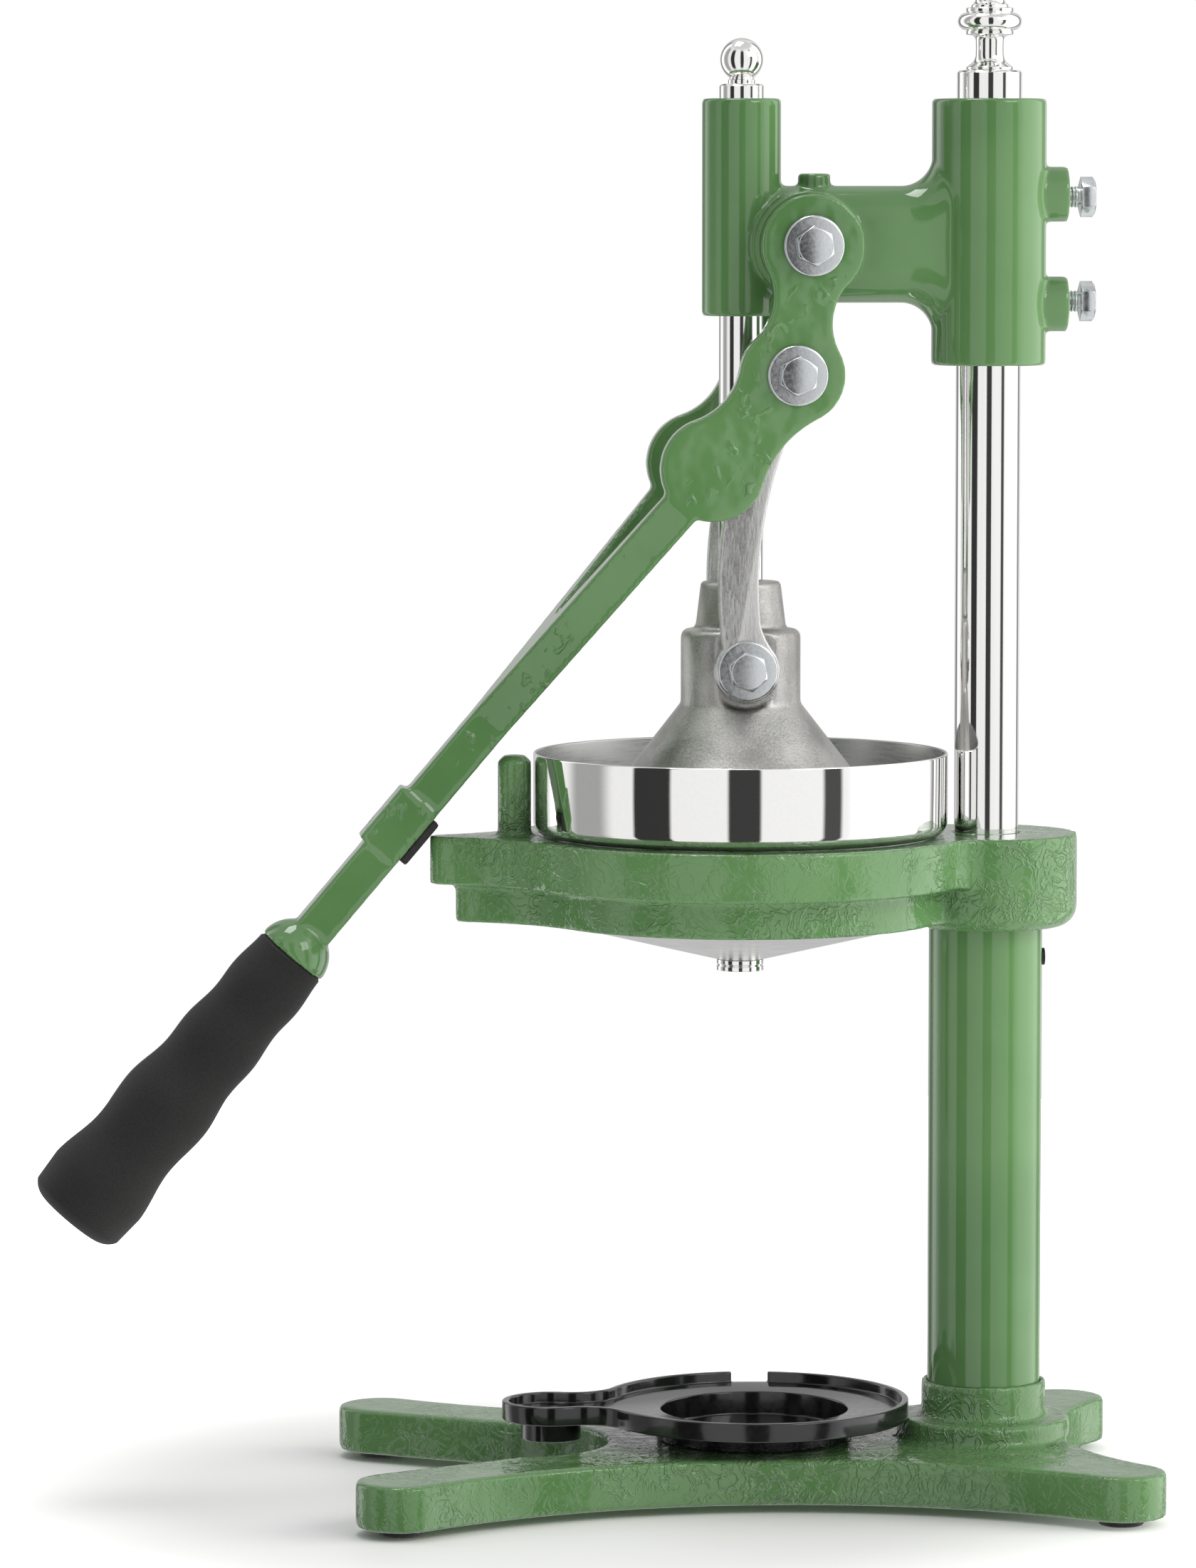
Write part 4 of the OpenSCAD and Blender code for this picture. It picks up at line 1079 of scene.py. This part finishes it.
@dataclass
class Studio:
    """White surround with strips, a pale floor, soft lights and the camera."""

    place: Vector = Vector((-0.18774, -2.55414, 0.48625))
    yaw: float = 4.274
    pitch: float = 4.907
    lens: float = 158.55
    sensor: float = 36.0
    aim_height: float = 0.3
    floor_r: float = 1.15
    white_from: float = 0.14
    white_to: float = 0.368
    surround_light: float = 0.98
    light_to_right: float = 0.04
    ceiling_share: float = 0.7
    strips: tuple[Strip, ...] = (
        Strip(1.2, 9.0, 2.5, 0.05),
        Strip(-51.3, 11.2, 2.5, 0.04),
        Strip(51.2, 5.5, 3.0, 0.08),
        Strip(-95.0, 14.0, 12.0, 0.42),
        Strip(-125.0, 7.0, 5.0, 1.6),
        Strip(-147.0, 9.0, 10.0, 0.22),
        Strip(-180.0, 22.0, 14.0, 0.6),
        Strip(96.0, 30.0, 14.0, 1.75),
        Strip(140.0, 9.5, 5.0, 0.32),
        Strip(180.0, 22.0, 14.0, 0.6),
    )
    lights: tuple[Softbox, ...] = (
        Softbox("key_light", Vector((1.3, -1.4, 1.5)), (0.9, 0.9), 9.0),
        Softbox("top_light", Vector((-0.2, 0.15, 2.0)), (0.8, 0.6), 9.0),
        Softbox("side_light", Vector((2.2, -0.5, 0.9)), (1.4, 1.4), 33.0, (1.0, 0.98, 0.86), False),
    )

    def camera(self) -> None:
        """Sets the camera at the photograph's viewing angle."""
        data = bpy.data.cameras.new("camera")
        data.lens = self.lens
        data.sensor_width = self.sensor
        data.sensor_fit = "AUTO"
        camera = bpy.data.objects.new("camera", data)
        bpy.context.scene.collection.objects.link(camera)
        camera.location = self.place
        camera.rotation_euler = (math.radians(90.0 - self.pitch), 0.0, math.radians(-self.yaw))
        bpy.context.scene.camera = camera

    def floor(self) -> None:
        """Lays a pale floor that fades to white away from the object."""
        bench = Bench()
        bench.clear()
        bpy.ops.mesh.primitive_circle_add(vertices=96, radius=self.floor_r, fill_type="NGON",
                                          location=(0.0, 0.0, 0.0))
        floor = bpy.context.active_object
        floor.name = "studio_floor"
        bpy.ops.object.mode_set(mode="EDIT")
        bpy.ops.mesh.select_all(action="SELECT")
        bpy.ops.mesh.inset(thickness=self.floor_r / 3)
        bpy.ops.mesh.inset(thickness=self.floor_r / 3)
        bpy.ops.object.mode_set(mode="OBJECT")
        bench.settle(floor)
        r = Recipe("pale_floor")
        length = r.tree.nodes.new("ShaderNodeVectorMath")
        length.operation = "LENGTH"
        r.link(r.coords, length.inputs[0])
        away = r.span(length.outputs["Value"], self.white_from, self.white_to, 0.0, 1.0)
        grain = r.span(r.noise(9.0, 3.0), 0.3, 0.7, 0.0, 1.0)
        r.drive("Base Color", r.colours(grain, (0.745, 0.747, 0.75), (0.765, 0.765, 0.765)))
        r.drive("Emission Strength", away)
        r.plain(Roughness=0.55)
        r.shader.inputs["Emission Color"].default_value = (1.0, 1.0, 1.0, 1.0)
        floor.data.materials.append(r.material)
        floor.visible_glossy = False

    def surround(self) -> None:
        """Makes the white surround, with its strips seen in reflections only."""
        world = bpy.data.worlds.new("studio")
        bpy.context.scene.world = world
        world.use_nodes = True
        tree = world.node_tree
        tree.nodes.clear()

        def value(kind: str, a: object, b: object = 0.0, c: object = 0.0) -> bpy.types.NodeSocket:
            """Adds a Math node whose inputs are sockets or numbers."""
            node = tree.nodes.new("ShaderNodeMath")
            node.operation = kind
            for socket, item in zip(node.inputs, (a, b, c)):
                if isinstance(item, bpy.types.NodeSocket):
                    tree.links.new(item, socket)
                else:
                    socket.default_value = item
            return node.outputs["Value"]

        def fade(source: bpy.types.NodeSocket, low: float, high: float) -> bpy.types.NodeSocket:
            """Adds an eased step that falls from 1 at low to 0 at high."""
            node = tree.nodes.new("ShaderNodeMapRange")
            node.interpolation_type = "SMOOTHSTEP"
            tree.links.new(source, node.inputs["Value"])
            for name, item in zip(("From Min", "From Max", "To Min", "To Max"),
                                  (low, high, 1.0, 0.0)):
                node.inputs[name].default_value = item
            return node.outputs["Result"]

        direction = tree.nodes.new("ShaderNodeTexCoord").outputs["Generated"]
        split = tree.nodes.new("ShaderNodeSeparateXYZ")
        tree.links.new(direction, split.inputs["Vector"])
        x, y, z = split.outputs
        turned = math.radians(self.yaw)
        across = value("ADD", value("MULTIPLY", x, math.cos(turned)),
                       value("MULTIPLY", y, -math.sin(turned)))
        towards = value("ADD", value("MULTIPLY", x, -math.sin(turned)),
                        value("MULTIPLY", y, -math.cos(turned)))
        azimuth = value("MULTIPLY", value("ARCTAN2", across, towards), 180.0 / math.pi)
        level = fade(value("ABSOLUTE", z), 0.62, 0.85)
        below = fade(z, 0.72, 0.9)
        ceiling = value("ADD", self.ceiling_share, value("MULTIPLY", below, 1.0 - self.ceiling_share))
        sideways = value("MULTIPLY", across, self.light_to_right)
        light = value("MULTIPLY", ceiling, value("ADD", self.surround_light, sideways))
        for strip in self.strips:
            gap = value("ABSOLUTE", value("SUBTRACT", azimuth, strip.azimuth))
            inside = fade(gap, strip.half - strip.soft / 2, strip.half + strip.soft / 2)
            mask = value("MULTIPLY", inside, value("MULTIPLY", level, 1.0 - strip.share))
            light = value("MULTIPLY", light, value("SUBTRACT", 1.0, mask))
        shown = tree.nodes.new("ShaderNodeBackground")
        shown.inputs["Color"].default_value = (1.0, 1.0, 1.0, 1.0)
        tree.links.new(light, shown.inputs["Strength"])
        blank = tree.nodes.new("ShaderNodeBackground")
        blank.inputs["Color"].default_value = (1.0, 1.0, 1.0, 1.0)
        blank.inputs["Strength"].default_value = 1.0
        mix = tree.nodes.new("ShaderNodeMixShader")
        ray = tree.nodes.new("ShaderNodeLightPath").outputs["Is Camera Ray"]
        tree.links.new(ray, mix.inputs["Fac"])
        tree.links.new(shown.outputs["Background"], mix.inputs[1])
        tree.links.new(blank.outputs["Background"], mix.inputs[2])
        output = tree.nodes.new("ShaderNodeOutputWorld")
        tree.links.new(mix.outputs["Shader"], output.inputs["Surface"])

    def hang(self, box: Softbox) -> None:
        """Hangs one of the lights.

        Args:
            box: The light.
        """
        data = bpy.data.lights.new(box.name, "AREA")
        data.shape = "RECTANGLE"
        data.size, data.size_y = box.size
        data.energy = box.power
        data.color = box.tint
        light = bpy.data.objects.new(box.name, data)
        bpy.context.scene.collection.objects.link(light)
        light.visible_glossy = box.mirrored
        light.location = box.place
        way = Vector((0.0, 0.0, self.aim_height)) - box.place
        light.rotation_euler = way.to_track_quat("-Z", "Y").to_euler()

    def build(self) -> None:
        """Builds the studio."""
        bpy.context.scene.view_settings.view_transform = "Standard"
        self.camera()
        self.floor()
        self.surround()
        for box in self.lights:
            self.hang(box)


def main() -> None:
    """Builds the press in its studio."""
    logging.basicConfig(level=logging.INFO, format="%(message)s")
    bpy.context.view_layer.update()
    Studio().build()
    bench = Bench()
    finishes = Finishes.make()
    screws = Screws(bench, finishes.zinc)
    for part in (Stand(bench, finishes), Bowl(bench, finishes), Head(bench, finishes, screws),
                 Lever(bench, finishes, screws), Press(bench, finishes, screws),
                 Links(bench, finishes), GlassRing(bench, finishes)):
        part.build()
        log.info("%s done", type(part).__name__)


if __name__ == "__main__":
    main()
